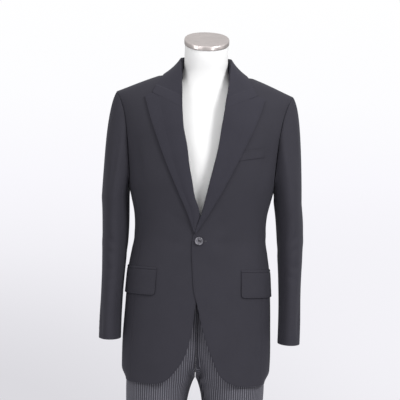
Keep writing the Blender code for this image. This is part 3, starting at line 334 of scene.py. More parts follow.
def underarm_z(angle):
    """Top of the side body: lowest under the arm, rising to the corners of the armhole."""
    middle = sum(CORNER_ANGLES) / 2
    off_middle = (np.asarray(angle, float) - middle) / (CORNER_ANGLES[1] - middle)
    corner = np.where(off_middle < 0, FRONT_CORNER_Z, BACK_CORNER_Z)
    return UNDERARM_Z + (corner - UNDERARM_Z) * off_middle ** 2


def neckline_z(x):
    """Top of the back: the dip at the nape, then the shoulder seam."""
    dip = mix(BACK_NECK_Z, shoulder_z(NECK_POINT_X), np.clip(np.abs(x) / NECK_POINT_X, 0, 1) ** 2)
    return np.minimum(shoulder_z(x), dip)


def armhole(turn):
    """A point of the left armhole: 0 is the shoulder tip, 90 the front, 180 the underarm, 270 the back."""
    turn = np.asarray(turn, float) % 360
    halves = []
    for away, rows, side in ((turn, ARMHOLE_FRONT, -1), (360 - turn, ARMHOLE_BACK, 1)):
        x, z = read(rows, np.minimum(away, UNDER_TURN), "x", "z")
        halves.append(points(x, jacket_y(x, z, side), z))
    angle = mix(*CORNER_ANGLES, np.clip((turn - UNDER_TURN) / (360 - 2 * UNDER_TURN), 0, 1))
    below = ((turn > UNDER_TURN) & (turn < 360 - UNDER_TURN))[..., None]
    return np.where(below, jacket_ring(angle, underarm_z(angle)),
                    np.where((turn <= UNDER_TURN)[..., None], *halves))


def at_row(row, values):
    """A column of a table, read between its rows on the same smooth curve."""
    return smooth(row, np.arange(len(values), dtype=float), np.asarray(values, float))


def crowded(across):
    """Even columns, drawn together towards the last one."""
    return np.sin(across * CROWDING) / math.sin(CROWDING)


# ---- pieces as surfaces of two parameters ----

def overlap_lift(x, name):
    """The left front lies over the right one near the middle."""
    return OVERLAP_LIFT * (1 - fade(x, *OVERLAP_REACH)) if name == "left" else 0.0 * x


ROW_TURNS = (UNDER_TURN, *FRONT_TOP_ROWS["turn"])


def front(name, across, up, lift):
    """A front: rows run from the edge and roll line (0) to the side seam and armhole (1).

    Both ends of a row are read from the tables at row number 23 x up. x and z go straight between them;
    y is the jacket's.
    """
    low, top = FRONT_ROWS, FRONT_TOP_ROWS
    count = len(low["inner_z"])
    last = count + len(top["inner_z"]) - 1
    row = np.clip(up, 0, 1) * last
    inner_x, inner_z = (at_row(row, np.concatenate((low[column], top[column])))
                        for column in ("inner_" + name, "inner_z"))
    seam_z = at_row(np.minimum(row, count - 1), low["outer_z"])
    hole = armhole(at_row(np.maximum(row - count + 1, 0), ROW_TURNS))
    beside = row < count - 1
    outer_x = np.where(beside, x_at(read(SIDE_SEAMS, seam_z, "front"), seam_z), hole[..., 0])
    outer_z = np.where(beside, seam_z, hole[..., 2])
    part = crowded(across)
    x, z = mix(inner_x, outer_x, part), mix(inner_z, outer_z, part)
    top_z = shoulder_z(mix(inner_x * 0 + top["inner_" + name][-1], SHOULDER_TIP[0], part))
    z = z + (top_z - mix(top["inner_z"][-1], SHOULDER_TIP[1], part)) * fade(row, last - 3, last)
    return jacket_point(x, z, -1, overlap_lift(x, name) + lift)


def side_body(across, up, lift):
    """A side body: from the front's seam (0) to the back's (1), straight between them at each height."""
    first = read(SIDE_SEAMS, mix(HEM_Z, FRONT_CORNER_Z, up), "front")
    last = 180 - read(SIDE_SEAMS, mix(HEM_Z, BACK_CORNER_Z, up), "back")
    top = underarm_z(mix(*CORNER_ANGLES, across))
    return jacket_around(mix(first, last, across), mix(HEM_Z, top, up), lift)


def back(across, up, lift):
    """A back: from the centre seam (0) to the side seam and armhole (1). Above the corner of the armhole
    each row climbs to the neckline and shoulder in the same proportion."""
    low_z = mix(HEM_Z, BACK_CORNER_Z, np.minimum(up / BACK_SPLIT, 1))
    low_x = x_at(read(SIDE_SEAMS, low_z, "back"), low_z)
    row = np.clip((up - BACK_SPLIT) / (1 - BACK_SPLIT), 0, 1) * (len(ROW_TURNS) - 1)
    hole = armhole(360.0 - at_row(row, ROW_TURNS))
    climb = (hole[..., 2] - BACK_CORNER_Z) / (SHOULDER_TIP[1] - BACK_CORNER_Z)
    above = up > BACK_SPLIT
    x = np.where(above, hole[..., 0], low_x) * crowded(across)
    top_z = neckline_z(SHOULDER_TIP[0] * crowded(across))
    z = np.where(above, mix(BACK_CORNER_Z, top_z, climb), low_z)
    return jacket_point(np.maximum(x, SEAM_GAP), z, 1, lift)


def lapel_flat(name, across, up, lift):
    """The lapel's flat part: from the roll line (0) to its outer edge (1), and up to gorge and peak."""
    inner, outer = LAPEL_INNER, LAPEL_OUTER
    inner_z, outer_z = (mix(rows["z"][0], rows["z"][-1], up) for rows in (inner, outer))
    inner_x = read(inner, inner_z, name) + ROLL * fade(up, -0.02, 0.16)
    x = mix(inner_x, read(outer, outer_z, name), across)
    z = mix(inner_z, outer_z, across)
    corner = gorge_corner(name)
    gorge = mix(inner["z"][-1], GORGE_CORNER[1], across / corner)
    peak = mix(GORGE_CORNER[1], outer["z"][-1], (across - corner) / (1 - corner))
    end_z = mix(inner["z"][-1], outer["z"][-1], across)
    z = z + (np.where(across < corner, gorge, peak) - end_z) * fade(up, 0.55, 1.0)
    belly = LAPEL_SWELL * np.sin(math.pi * np.clip(across * 1.6, 0, 1)) * fade(up, 0.0, 0.12)
    return jacket_point(x, z, -1, overlap_lift(x, name) + LAPEL_LIFT + belly + lift)


def gorge_corner(name):
    """How far across the lapel its gorge seam ends and its peak begins."""
    inner, outer = LAPEL_INNER[name][-1], LAPEL_OUTER[name][-1]
    return float((GORGE_CORNER[0] - inner) / (outer - inner))


def leaf_share(across):
    """The share of a leaf's width past its fold, from 0 to 1."""
    return np.clip((across - FOLD_SHARE) / (1 - FOLD_SHARE), 0, 1)


def folded_over(across, lying, edge, inwards, outwards, lift, radius, half_turn=math.pi):
    """A leaf whose first share of columns curls round the fold at its edge, in a half circle whose
    middle lies one radius below the edge."""
    turn = (half_turn * np.clip(1 - across / FOLD_SHARE, 0, 1))[..., None]
    far = (radius + lift)[..., None]
    curled = edge - radius * outwards + far * (np.cos(turn) * outwards + np.sin(turn) * inwards)
    return np.where((across < FOLD_SHARE)[..., None], curled, lying)


def lapel(name, across, up, lift):
    """A lapel: it curls round the fold, and the rest lies on the front."""
    flat = leaf_share(across)
    edge = lapel_flat(name, 0 * flat, up, 0.0 * lift)
    outwards = unit(lapel_flat(name, 0 * flat, up, 0.0 * lift + 1e-3) - edge)
    inwards = np.cross(outwards, np.gradient(edge, axis=0))
    inwards = unit(inwards) * -np.sign(inwards[..., :1])
    return folded_over(across, lapel_flat(name, flat, up, lift), edge, inwards, outwards, lift, ROLL,
                       0.97 * math.pi)


def collar_line(station, prefix, rows=COLLAR):
    """A named line of the collar's table at signed stations, with x on the station's side."""
    x, y, z = read(rows, np.abs(station), prefix + "_x", prefix + "_y", prefix + "_z")
    return points(np.sign(station) * x, y, z)


def upward_normals(spots):
    """The unit normal at each point of a grid, on the side that looks up."""
    normal = unit(np.cross(np.gradient(spots, axis=0), np.gradient(spots, axis=1)))
    return normal * np.sign(normal[len(spots) // 2, spots.shape[1] // 2, 2])


def clear_of_jacket(spots, stand_off):
    """Points moved out, where they have to be, to stand clear of the fronts and backs."""
    x, y, z = np.moveaxis(spots, -1, 0)
    side = np.where(y < SHOULDER_Y, -1.0, 1.0)
    rest = np.where(side[..., None] < 0, *(jacket_point(x, z, way, stand_off) for way in (-1, 1)))
    buried = (z < shoulder_z(x)) & ((y - rest[..., 1]) * side < 0)
    cleared = np.where(buried[..., None], rest, spots)
    near_seam = (np.abs(x) > NECK_POINT_X) & ~buried & (np.abs(y - SHOULDER_Y) < 0.01)
    floor = shoulder_z(x) + stand_off * math.hypot(1, SHOULDER_SLOPE)
    cleared[..., 2] = np.where(near_seam, np.maximum(cleared[..., 2], floor), cleared[..., 2])
    return cleared


def collar_fall(across, up, lift):
    """The collar's fall: station -1 to 1 round the neck (up), and from the fold line (0) to the leaf's
    edge (1) on a chord arched outwards by a sine. It curls over the fold to the inside. Its two ends
    are drawn on to the lapels' gorges."""
    station = mix(-1.0, 1.0, up)
    flat = leaf_share(across)
    fold, leaf = collar_line(station, "fold"), collar_line(station, "leaf")
    chord_way = unit(leaf - fold)
    edge = fold + COLLAR_FOLD * chord_way
    arch = read(COLLAR, np.abs(station), "arch") * np.sin(math.pi * flat ** 0.7)
    wide = np.linspace(0, 1, flat.shape[1])[None, :, None]
    outwards = upward_normals(mix(fold[:, :1], leaf[:, :1], wide))
    lying = clear_of_jacket(mix(edge, leaf, flat[..., None]) + outwards * (arch + lift)[..., None],
                             COLLAR_LIFT + lift)
    for row, (name, side) in zip((-1, 0), SIDES):
        share = fade(station * side, 0.84, 1.0)[..., None]
        top = np.ones((1, flat.shape[1]))
        gap = GORGE_GAP * np.array(GORGE_SQUARE) * mirror(side)
        for line, width, out in ((lying, flat[row][None] * gorge_corner(name), lift[row][None]),
                                 (edge, 0 * top, 0 * top)):
            line += share * (lapel_flat(name, width, top, out) * mirror(side) + gap - line[row])
    return folded_over(across, lying, edge, -chord_way, outwards, lift, COLLAR_FOLD)


def collar_stand(across, up, lift):
    """The collar's stand: from just inside the fold (0) down to the neck seam (1)."""
    station = mix(-1.0, 1.0, up) * STAND["station"][0]
    fold = collar_line(station, "fold")
    outwards = unit(fold * np.array((1.0, 1.0, 0.0)))
    top = fold - STAND_SHIFT * (outwards + np.array((0.0, 0.0, 1.0)))
    return mix(top, collar_line(station, "foot", STAND), across[..., None]) + lift[..., None] * outwards


def sleeve_point(turn, rise, name):
    """A point of a sleeve: rise 0 to 1 is cuff to head height, and 1 to 2 the cap to the armhole.

    The tube is an ellipse at each height. The cap is a cubic from the tube's top, which it leaves
    upright, to the armhole, where it arrives leaning out.
    """
    turn, rise = np.broadcast_arrays(np.asarray(turn, float), np.asarray(rise, float))
    z = mix(CUFF_Z, SLEEVE_HEAD_Z, np.minimum(rise, 1))
    out, ahead = np.cos(np.radians(turn)), np.sin(np.radians(turn))
    centre, half_width, mid_y, half_depth = read(SLEEVE, z, "centre_" + name, "half_width", "mid_y",
                                                 "half_depth")
    tube = points(centre + half_width * out, mid_y - half_depth * ahead, z)
    seam = armhole(turn) + points(1.0, 0.0, -CAP_SEAM_DROP * np.maximum(out, 0)) * SLEEVE_GAP
    towards = CAP_ARRIVES[0] + out[..., None] * CAP_ARRIVES[1] + ahead[..., None] * CAP_ARRIVES[2]
    length = np.linalg.norm(seam - tube, axis=-1, keepdims=True)
    leave, arrive = tube + length * CAP_LEAVES, seam + length * towards
    part = np.clip(rise - 1, 0, 1)[..., None]
    cap = ((1 - part) ** 3 * tube + 3 * part * (1 - part) ** 2 * leave
           + 3 * part ** 2 * (1 - part) * arrive + part ** 3 * seam)
    return np.where(part > 0, cap, tube)


def sleeve(name, turn, rise, lift):
    """The same point, moved out by a lift."""
    return moved(lambda across, up: sleeve_point(across, up, name), turn, rise, lift, -1)


def sleeve_back_turn(rise):
    """Degrees behind the outward side at which the back seam runs."""
    tube = read(SLEEVE_SEAM, mix(CUFF_Z, SLEEVE_HEAD_Z, np.clip(rise, 0, 1)), "turn")
    return mix(tube, SLEEVE_SEAM_TOP, fade(rise, 1, 2))


def sleeve_turn(kind, across, rise):
    """Degrees across a topsleeve, from its back seam (0) over the outside to its front seam (1), or
    across an undersleeve, from the front seam to the back one."""
    behind = sleeve_back_turn(rise)
    if kind == "topsleeve":
        return mix(-behind, FRONT_SEAM_TURN, across)
    return mix(FRONT_SEAM_TURN, 360 - behind, across)


def sleeve_part(kind, name, across, up, lift):
    """A topsleeve or undersleeve, from the cuff (0) to the armhole (1)."""
    return sleeve(name, sleeve_turn(kind, across, 2 * up), 2 * up, lift)


def flap_angle(part):
    """The angle on the jacket's section along a flap, from its front end (0) to its rear (1)."""
    return mix(angle_at(FLAP["front_x"], FLAP["top"]), FLAP["rear_angle"], part)


def flap(across, up, lift):
    """A hip flap: from its front end (0) to its rear (1), and down (1 to 0). Its lower corners are
    quarter circles, and it stands out a little more lower down."""
    length, corner, height = FLAP["length"], FLAP["corner"], FLAP["top"] - FLAP["bottom"]
    run = across * length
    past = np.maximum(corner - np.minimum(run, length - run), 0)
    down = (1 - up) * (height - corner + np.sqrt(corner ** 2 - past ** 2))
    out = FLAP["lift"] + FLAP["flare"] * down / height + lift
    return jacket_around(flap_angle(across), FLAP["top"] - down, out)


def jet(across, up, lift):
    """The jetted edge above a flap: a narrow padded roll."""
    out = JET["lift"] + JET["swell"] * np.sin(math.pi * up) + lift
    return jacket_around(flap_angle(across), FLAP["top"] + JET["gap"] + JET["height"] * up, out)


def welt(across, up, lift):
    """The breast welt: a slanted band on the left front."""
    down = WELT["height"] * (1 - up)
    x, z = (mix(*ends, across) for ends in zip(WELT["inner"], WELT["outer"]))
    return jacket_point(x - WELT["lean"] * down, z - down, -1, WELT["lift"] + lift)


def trouser_ring(turn, z):
    """A point of the left half of the trousers: turn 0 is its front, 90 its outer side, -90 its inner."""
    facing, part = np.cos(np.radians(turn)), np.sin(np.radians(turn))
    centre, half_width, power, mid_y, ahead, behind = read(TROUSERS, z, "centre", "half_width", "power",
                                                           "mid_y", "front", "back")
    depth = np.where(facing > 0, ahead, behind)
    bulge = np.maximum(1 - np.abs(part) ** power, 0) ** (1 / (0.5 * power + 1.0))
    return points(centre + half_width * part, mid_y - np.sign(facing) * depth * bulge, z)


def inner_turn(z):
    """The turn at which the left half meets the middle, or comes nearest to it."""
    centre, half_width = read(TROUSERS, z, "centre", "half_width")
    return np.degrees(np.arcsin(np.clip((FORK_GAP - centre) / half_width, -1, 1)))


def leg_turn(side, z, across):
    """Degrees across a leg's front (side -1) or back (side 1), from its inner seam (0) to its outer (1)."""
    turn = mix(inner_turn(z), 90.0, across)
    return turn if side < 0 else 180 - turn


def trouser_panel(side, across, up, lift):
    """The front (side -1) or back (side 1) of the left leg, from the hem (0) to the waist (1)."""
    z = mix(*LEG_Z, up)
    spots = moved(trouser_ring, leg_turn(side, z, across), z, lift, 1)
    spots[..., 1] += side * SEAM_GAP
    return spots


def waistband(across, up, lift):
    """Half of the waistband, from the middle of the front (0) to the middle of the back (1)."""
    z = mix(*WAISTBAND_Z, up)
    first = inner_turn(z)
    return moved(trouser_ring, mix(first, 180 - first, across), z, lift, 1)


# ---- creases ----

def creases(rows, along, up):
    """The sum of soft troughs and ridges, listed in a table.

    Each is a line from (s0, z0) to (s1, z1), bowed sideways by a sine. Its height falls off as a bell
    across the line, over its width, and as a half sine along it.
    """
    lift = np.zeros(np.broadcast(along, up).shape)
    for s0, z0, s1, z1, width, height, bow in zip(*rows.values()):
        run = np.array((s1 - s0, z1 - z0))
        length = np.hypot(*run)
        run = run / length
        part = ((along - s0) * run[0] + (up - z0) * run[1]) / length
        arch = np.sin(math.pi * np.clip(part, 0, 1))
        aside = (along - s0) * -run[1] + (up - z0) * run[0] - bow * arch
        lift += height * np.exp(-(aside / width) ** 2) * arch ** 1.5
    return lift


# Along the body, s is the angle from the middle of the front in radians x 0.15, + towards the left.
BODY_CREASES = table("s0 z0 s1 z1 width height bow", """
    .01 1.13 .115 1.205 .016 -.0016 .006, .012 1.12 .15 1.135 .014 -.0012 .005,
    .01 1.112 .09 1.03 .018 -.001 -.006, -.012 1.13 -.105 1.21 .016 -.0015 -.007,
    -.014 1.118 -.16 1.14 .015 -.0013 -.004, -.01 1.11 -.08 1.035 .018 -.0011 .005,
    .18 1.18 .235 1.11 .013 -.0015 .004, .165 1.145 .26 1.15 .012 .0012 .004,
    -.175 1.185 -.24 1.115 .013 -.0016 -.005, -.17 1.14 -.255 1.155 .012 .0012 .003,
    .165 1.41 .15 1.25 .012 -.0022 .006, -.168 1.405 -.152 1.255 .012 -.002 -.006,
    .12 1.01 .135 .77 .026 -.0022 .006, -.118 1 -.138 .77 .028 -.002 -.006, .19 1.02 .205 .77 .03 .0024 0,
    -.185 1.01 -.205 .77 .03 .0024 0, .3 1.43 .285 1.215 .014 -.003 .01,
    -.3 1.425 -.285 1.21 .014 -.0028 -.008, .325 1.4 .318 1.18 .014 .0024 .006,
    -.322 1.405 -.315 1.19 .013 .0022 -.006, .29 1.185 .4 1.12 .013 -.0016 .006,
    -.295 1.18 -.405 1.125 .013 -.0015 -.006, .3 1.15 .43 1.155 .012 .0012 -.004,
    -.3 1.155 -.43 1.148 .012 .0012 .004, .37 1 .38 .77 .03 -.0026 .004,
    -.365 1.005 -.38 .77 .03 -.0026 -.004, .43 1.01 .44 .77 .024 .0018 .003, -.43 1 -.44 .77 .024 .0018 -.003,
    .44 1.545 .38 1.5 .014 -.0012 .003, -.44 1.545 -.38 1.5 .014 -.0012 -.003""")
# Along a sleeve, s is the turn in radians x 0.05, from the outward side forwards.
SLEEVE_CREASES = table("s0 z0 s1 z1 width height bow", """
    .02 1.165 .11 1.12 .01 -.003 .004, .03 1.13 .115 1.095 .009 -.0026 .004,
    .015 1.08 .105 1.085 .01 -.0028 -.005, .045 1.05 .11 1.06 .009 -.002 -.003,
    .06 1.22 .115 1.17 .012 -.0018 .004, -.05 1.12 .03 1.145 .013 .0012 .004,
    .05 1.44 .062 1.23 .009 -.0034 .006, .018 1.47 .03 1.3 .01 .0022 .004,
    .062 1.46 .078 1.28 .008 .0022 .003, .03 1 .04 .885 .008 -.0022 .002,
    -.05 1.44 -.058 1.25 .012 -.0022 -.005, -.02 1.06 -.012 .9 .014 -.0014 .003,
    .04 1.03 .048 .885 .014 -.0016 .003, .18 1.11 .12 1.14 .012 -.0018 .003,
    .215 1.18 .255 1.1 .013 -.0016 .004, .2 1.08 .25 1.04 .013 .0012 .004,
    0 1.24 .004 1.11 .016 .0012 .004""")
# Along a trouser leg, s is the turn in radians x 0.085 from the front crease, + outwards.
LEG_CREASES = table("s0 z0 s1 z1 width height bow", """
    -.11 .8 -.02 .9 .014 -.003 .006, -.115 .78 -.01 .8 .014 -.0026 -.006, -.12 .76 -.03 .7 .016 -.0024 -.006,
    -.06 .87 .06 .88 .016 .0014 .006, -.1 .56 .02 .52 .018 -.0018 .006, .1 .545 0 .5 .018 -.0018 .005,
    -.1 .48 .01 .47 .018 .0014 -.004, .055 .82 .07 .6 .02 -.0022 .005, .05 .3 .06 .05 .022 -.0016 .004,
    -.06 .33 -.055 .06 .022 -.0016 -.004, -.13 .24 -.02 .215 .016 -.0012 .003,
    .13 .82 .12 .64 .022 .0018 .004, .16 .87 .255 .8 .018 -.0028 .006, .15 .79 .25 .77 .016 -.0024 .004,
    .205 .56 .26 .47 .02 -.0022 .006, .18 .52 .15 .43 .02 .0016 .006, .2 .33 .195 .06 .022 -.0016 .004""")


# How the creases lie on a limb: their table, metres for a radian of turn, how much lower and fainter
# they are on the right, and the depth, waves and shift of its slow unevenness.
SLEEVE_CLOTH = dict(rows=SLEEVE_CREASES, around=0.05, lower=0.018, fainter=0.8, depth=0.0005,
                    waves=(60, 7, 29), shift=2.0)
LEG_CLOTH = dict(rows=LEG_CREASES, around=0.085, lower=0.015, fainter=0.85, depth=0.0008,
                 waves=(26, 4, 13), shift=1.0)


def body_relief(spots):
    """The jacket's creases at points of its surface, a slow unevenness of the whole, a little fullness
    along the shoulder seams, and the hem turned in at the sides."""
    x, y, z = np.moveaxis(spots, -1, 0)
    along = np.arctan2(x, -y) * 0.15
    slow = 0.0006 * np.sin(along * 31 + 1.3 * np.sin(z * 17)) * np.sin(z * 23 + along * 9)
    calm = fade(z, 0.80, 0.86) * 0.6 + 0.4
    out = np.abs(x)
    shoulder = mix(0.0040, 0.0012, fade(out, 0.14, 0.225)) * fade(out, 0.100, 0.120)
    shoulder = shoulder * np.exp(-((shoulder_z(x) - z) / 0.025) ** 2) * np.where(x > 0, 1.0, 0.8)
    near_hem = (1 - fade(z, HEM_Z, HEM_Z + HEM_TURN["height"])) ** 1.5
    hem = HEM_TURN["depth"] * fade(out, HEM_TURN["begins"], HEM_TURN["full"]) * near_hem
    return creases(BODY_CREASES, along, z) + slow * calm + shoulder - hem


def limb_relief(limb, name, turn, spots):
    """The creases of a sleeve or a leg, and its slow unevenness."""
    right = float(name == "right")
    along = np.radians(turn) * limb["around"]
    z = spots[..., 2] + limb["lower"] * right
    across, slant, up = limb["waves"]
    slow = limb["depth"] * np.sin(along * across + slant * z) * np.sin(z * up + limb["shift"] * right)
    return mix(1.0, limb["fainter"], right) * creases(limb["rows"], along, z) + slow


def fork_fold(inner, z):
    """A deep fold down the inside of a leg's front, from the fly past the fork: a valley near the seam,
    where inner is 0, with a short near wall and a long far wall. Its height fades at both ends."""
    above = fade(z, 0.78, 0.84)
    valley, wall = mix(0.013, 0.004, above), mix(0.036, 0.030, above)
    near = np.sin(math.pi / 2 * np.clip(inner / valley, 0, 1)) ** 2
    far = 1 - fade(inner, valley, valley + wall)
    ends = fade(z, 0.50, 0.66) * (1 - fade(z, 0.93, 1.0))
    return np.minimum(near, far) * ends * mix(1.0, 0.6, fade(z, 0.82, 0.87))


# ---- walls of cloth ----

def spread(count, length, border):
    """Parameters from 0 to 1: even ones between, and a few close ones where each edge turns over."""
    fine = np.array((0.0, 0.15, 0.5, 1.0, 2.0, 3.6)) * border
    even = np.linspace(6.0 * border, length - 6.0 * border, count)
    return np.concatenate((fine, even, (length - fine)[::-1])) / length


def run_along(grid, axis):
    """Distance along a grid's lines from its first line, at each point."""
    step = np.linalg.norm(np.diff(grid, axis=axis), axis=-1)
    start = np.zeros_like(np.take(step, [0], axis=axis))
    return np.concatenate((start, np.cumsum(step, axis=axis)), axis=axis)


def quads(rows, columns, first=0, flip=False, wrap=()):
    """Corner numbers of a grid's cells, as one array. The axes in wrap close on themselves."""
    number = first + np.arange(rows * columns).reshape(rows, columns)
    for axis in wrap:
        number = np.concatenate((number, np.take(number, [0], axis)), axis)
    corners = (number[:-1, :-1], number[:-1, 1:], number[1:, 1:], number[1:, :-1])
    cells = np.stack(corners, axis=-1).reshape(-1, 4)
    return cells[:, ::-1] if flip else cells


def mesh_of(name, spots, cells, **maps):
    """A mesh from points and four-cornered faces, with UV maps given point by point."""
    mesh = bpy.data.meshes.new(name)
    mesh.vertices.add(len(spots))
    mesh.vertices.foreach_set("co", np.ascontiguousarray(spots, dtype=np.float32).ravel())
    mesh.loops.add(cells.size)
    mesh.loops.foreach_set("vertex_index", cells.ravel().astype(np.int32))
    mesh.polygons.add(len(cells))
    mesh.polygons.foreach_set("loop_start", np.arange(0, cells.size, 4, dtype=np.int32))
    mesh.update(calc_edges=True)
    mesh.validate()
    for label, flat in maps.items():
        layer = mesh.uv_layers.new(name=label)
        layer.data.foreach_set("uv", flat[cells.ravel()].astype(np.float32).ravel())
    mesh.shade_smooth()
    return mesh


def placed(name, data):
    """A new object in the scene."""
    made = bpy.data.objects.new(name, data)
    bpy.context.scene.collection.objects.link(made)
    return made


def piece_of(name, mesh, finish, slot, *nodes):
    """Put a mesh in the scene as a finished piece that stands for CAD nodes."""
    piece = placed(name, mesh)
    mesh.materials.append(finish)
    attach(piece, "root")
    if nodes:
        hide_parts(*nodes)
    return piece


def walled(outer, inner):
    """Points and faces of a wall between two grids, closed by a rim."""
    shape = outer.shape[:2]
    row, column = shape[0] // 2, shape[1] // 2
    here = outer[row, column]
    facing = np.cross(outer[row, column + 1] - here, outer[row + 1, column] - here)
    flip = bool(np.dot(facing, here - inner[row, column]) < 0)
    count = shape[0] * shape[1]
    number = np.arange(count).reshape(shape)
    loop = np.concatenate((number[0], number[1:, -1], number[-1, -2::-1], number[-2:0:-1, 0]))
    after = np.roll(loop, -1)
    rim = np.stack((after, loop, loop + count, after + count), axis=1)
    cells = np.concatenate((quads(*shape, flip=flip), quads(*shape, first=count, flip=not flip),
                            rim[:, ::-1] if flip else rim))
    return np.concatenate((outer.reshape(-1, 3), inner.reshape(-1, 3))), cells


def cloth(name, surface, finish, slot, edges, across, up, side=1, thickness=CLOTH, relief=None, grain=None,
          held="hung", rests_on=("form_torso",), stitched=(), with_pieces=(), dip=SEAM_DIP):
    """A wall of cloth on a surface of two parameters.

    The outer and inner faces are the surface at the relief's lift, and one thickness below. edges names
    what the four borders are, in the order first column, last column, first row, last row: a free edge
    is rounded to nearly half the wall, and a seam's edge turns in a little where the cloth is pressed. A
    number is a border that is a seam up to that column, and free beyond.
    Map "cloth" holds distances across and along the grain. Map "edge" holds, for the nearest stitched
    border, the distance along it and the distance from it.
    """
    columns, rows = np.broadcast_arrays(np.asarray(across)[None, :], np.asarray(up)[:, None])
    none = np.zeros(columns.shape)
    flat = surface(columns, rows, none)
    run_u, run_v = run_along(flat, 1), run_along(flat, 0)
    borders = run_u, run_u[:, -1:] - run_u, run_v, run_v[-1:] - run_v
    lines = run_v, run_v, run_u, run_u
    lift = relief(flat * mirror(side)) if relief else none
    outer_turn, inner_turn_in = none, none
    for kind, away in zip(edges, borders):
        if isinstance(kind, float):
            open_part = fade(columns, kind - 0.004, kind + 0.004)
        else:
            open_part = none + (kind == FREE)
        radius = mix(min(SEAM_TURN_IN, dip * 1.5), 0.46 * thickness, open_part)
        near = np.minimum(away, radius)
        turned = np.sqrt(np.maximum(radius ** 2 - (radius - near) ** 2, 0)) - radius
        outer_turn = np.minimum(outer_turn, turned)
        inner_turn_in = np.minimum(inner_turn_in, turned * open_part)
        if kind != HIDDEN:
            lift = lift - dip * (1 - open_part) * np.exp(-(away / SEAM_PRESS) ** 2)
    outer, inner = (surface(columns, rows, out) * mirror(side)
                    for out in (lift + outer_turn, lift - thickness - inner_turn_in))
    beside, far = none, none + 1.0
    for border in stitched:
        nearer = borders[border] < far
        if isinstance(edges[border], float):
            nearer &= columns > edges[border]
        beside = np.where(nearer, lines[border], beside)
        far = np.where(nearer, borders[border], far)
    maps = dict(cloth=grain(flat) if grain else (run_u, run_v), edge=(beside, far))
    maps = {label: np.tile(np.stack(both, axis=-1).reshape(-1, 2), (2, 1)) for label, both in maps.items()}
    piece = piece_of(name + "_cloth", mesh_of(name, *walled(outer, inner), **maps), finish, slot, name)
    if held is None:
        return piece
    return piece


def ring_body(spots, first=0):
    """Points and faces of a closed body through rings of points, each end closed to its middle."""
    rings, sides = spots.shape[:2]
    cells = quads(rings, sides, wrap=(1,))
    around = np.arange(sides)
    beside, last, low = np.roll(around, -1), (rings - 1) * sides, rings * sides
    fans = np.concatenate((np.stack((beside, around, np.full(sides, low)), axis=1),
                           np.stack((last + around, last + beside, np.full(sides, low + 1)), axis=1)))
    flip = np.dot(np.cross(spots[1, 1] - spots[1, 0], spots[2, 0] - spots[1, 0]),
                  spots[1, 0] - spots[1].mean(axis=0)) < 0
    faces = [first + (part[:, ::-1] if flip else part) for part in (cells, fans)]
    ends = np.stack((spots[0].mean(axis=0), spots[-1].mean(axis=0)))
    return np.concatenate((spots.reshape(-1, 3), ends)), [face for part in faces for face in part.tolist()]


def closed_rings(name, bodies, finish, slot, *nodes):
    """A piece of one or more closed bodies, each given as an array of its rings."""
    spots, faces, count = [], [], 0
    for body in bodies:
        more_spots, more_faces = ring_body(body, count)
        spots.append(more_spots)
        faces += more_faces
        count += len(more_spots)
    mesh = bpy.data.meshes.new(name)
    mesh.from_pydata(np.concatenate(spots).tolist(), [], faces)
    mesh.update()
    mesh.validate()
    mesh.shade_smooth()
    mesh.set_sharp_from_angle(angle=math.radians(50))
    return piece_of(name, mesh, finish, slot, *nodes)


# ---- finishes ----

class Value:
    """A socket of a finish. Sums, products and powers of values add its Math nodes."""

    def __init__(self, finish, socket):
        self.finish, self.socket = finish, socket

    def maths(self, operation, *others):
        return self.finish.node("ShaderNodeMath", dict(operation=operation),
                                dict(enumerate((self,) + others)))

    def __add__(self, other):
        return self.maths("ADD", other)

    def __mul__(self, other):
        return self.maths("MULTIPLY", other)

    def __sub__(self, other):
        return self.maths("SUBTRACT", other)

    def __truediv__(self, other):
        return self.maths("DIVIDE", other)

    def __pow__(self, other):
        return self.maths("POWER", other)

    def __rsub__(self, other):
        return self.finish.node("ShaderNodeMath", dict(operation="SUBTRACT"), {0: other, 1: self})

    __radd__, __rmul__ = __add__, __mul__

    def wave(self, period):
        """A sine of the given period, from 0 to 1."""
        return (self * (2 * math.pi / period)).maths("SINE") * 0.5 + 0.5

    def band(self, middle, half, soft):
        """1 within half of the middle, fading to 0 over soft."""
        away = (self - middle).maths("ABSOLUTE")
        return 1.0 - self.finish.step(away, half, half + soft)


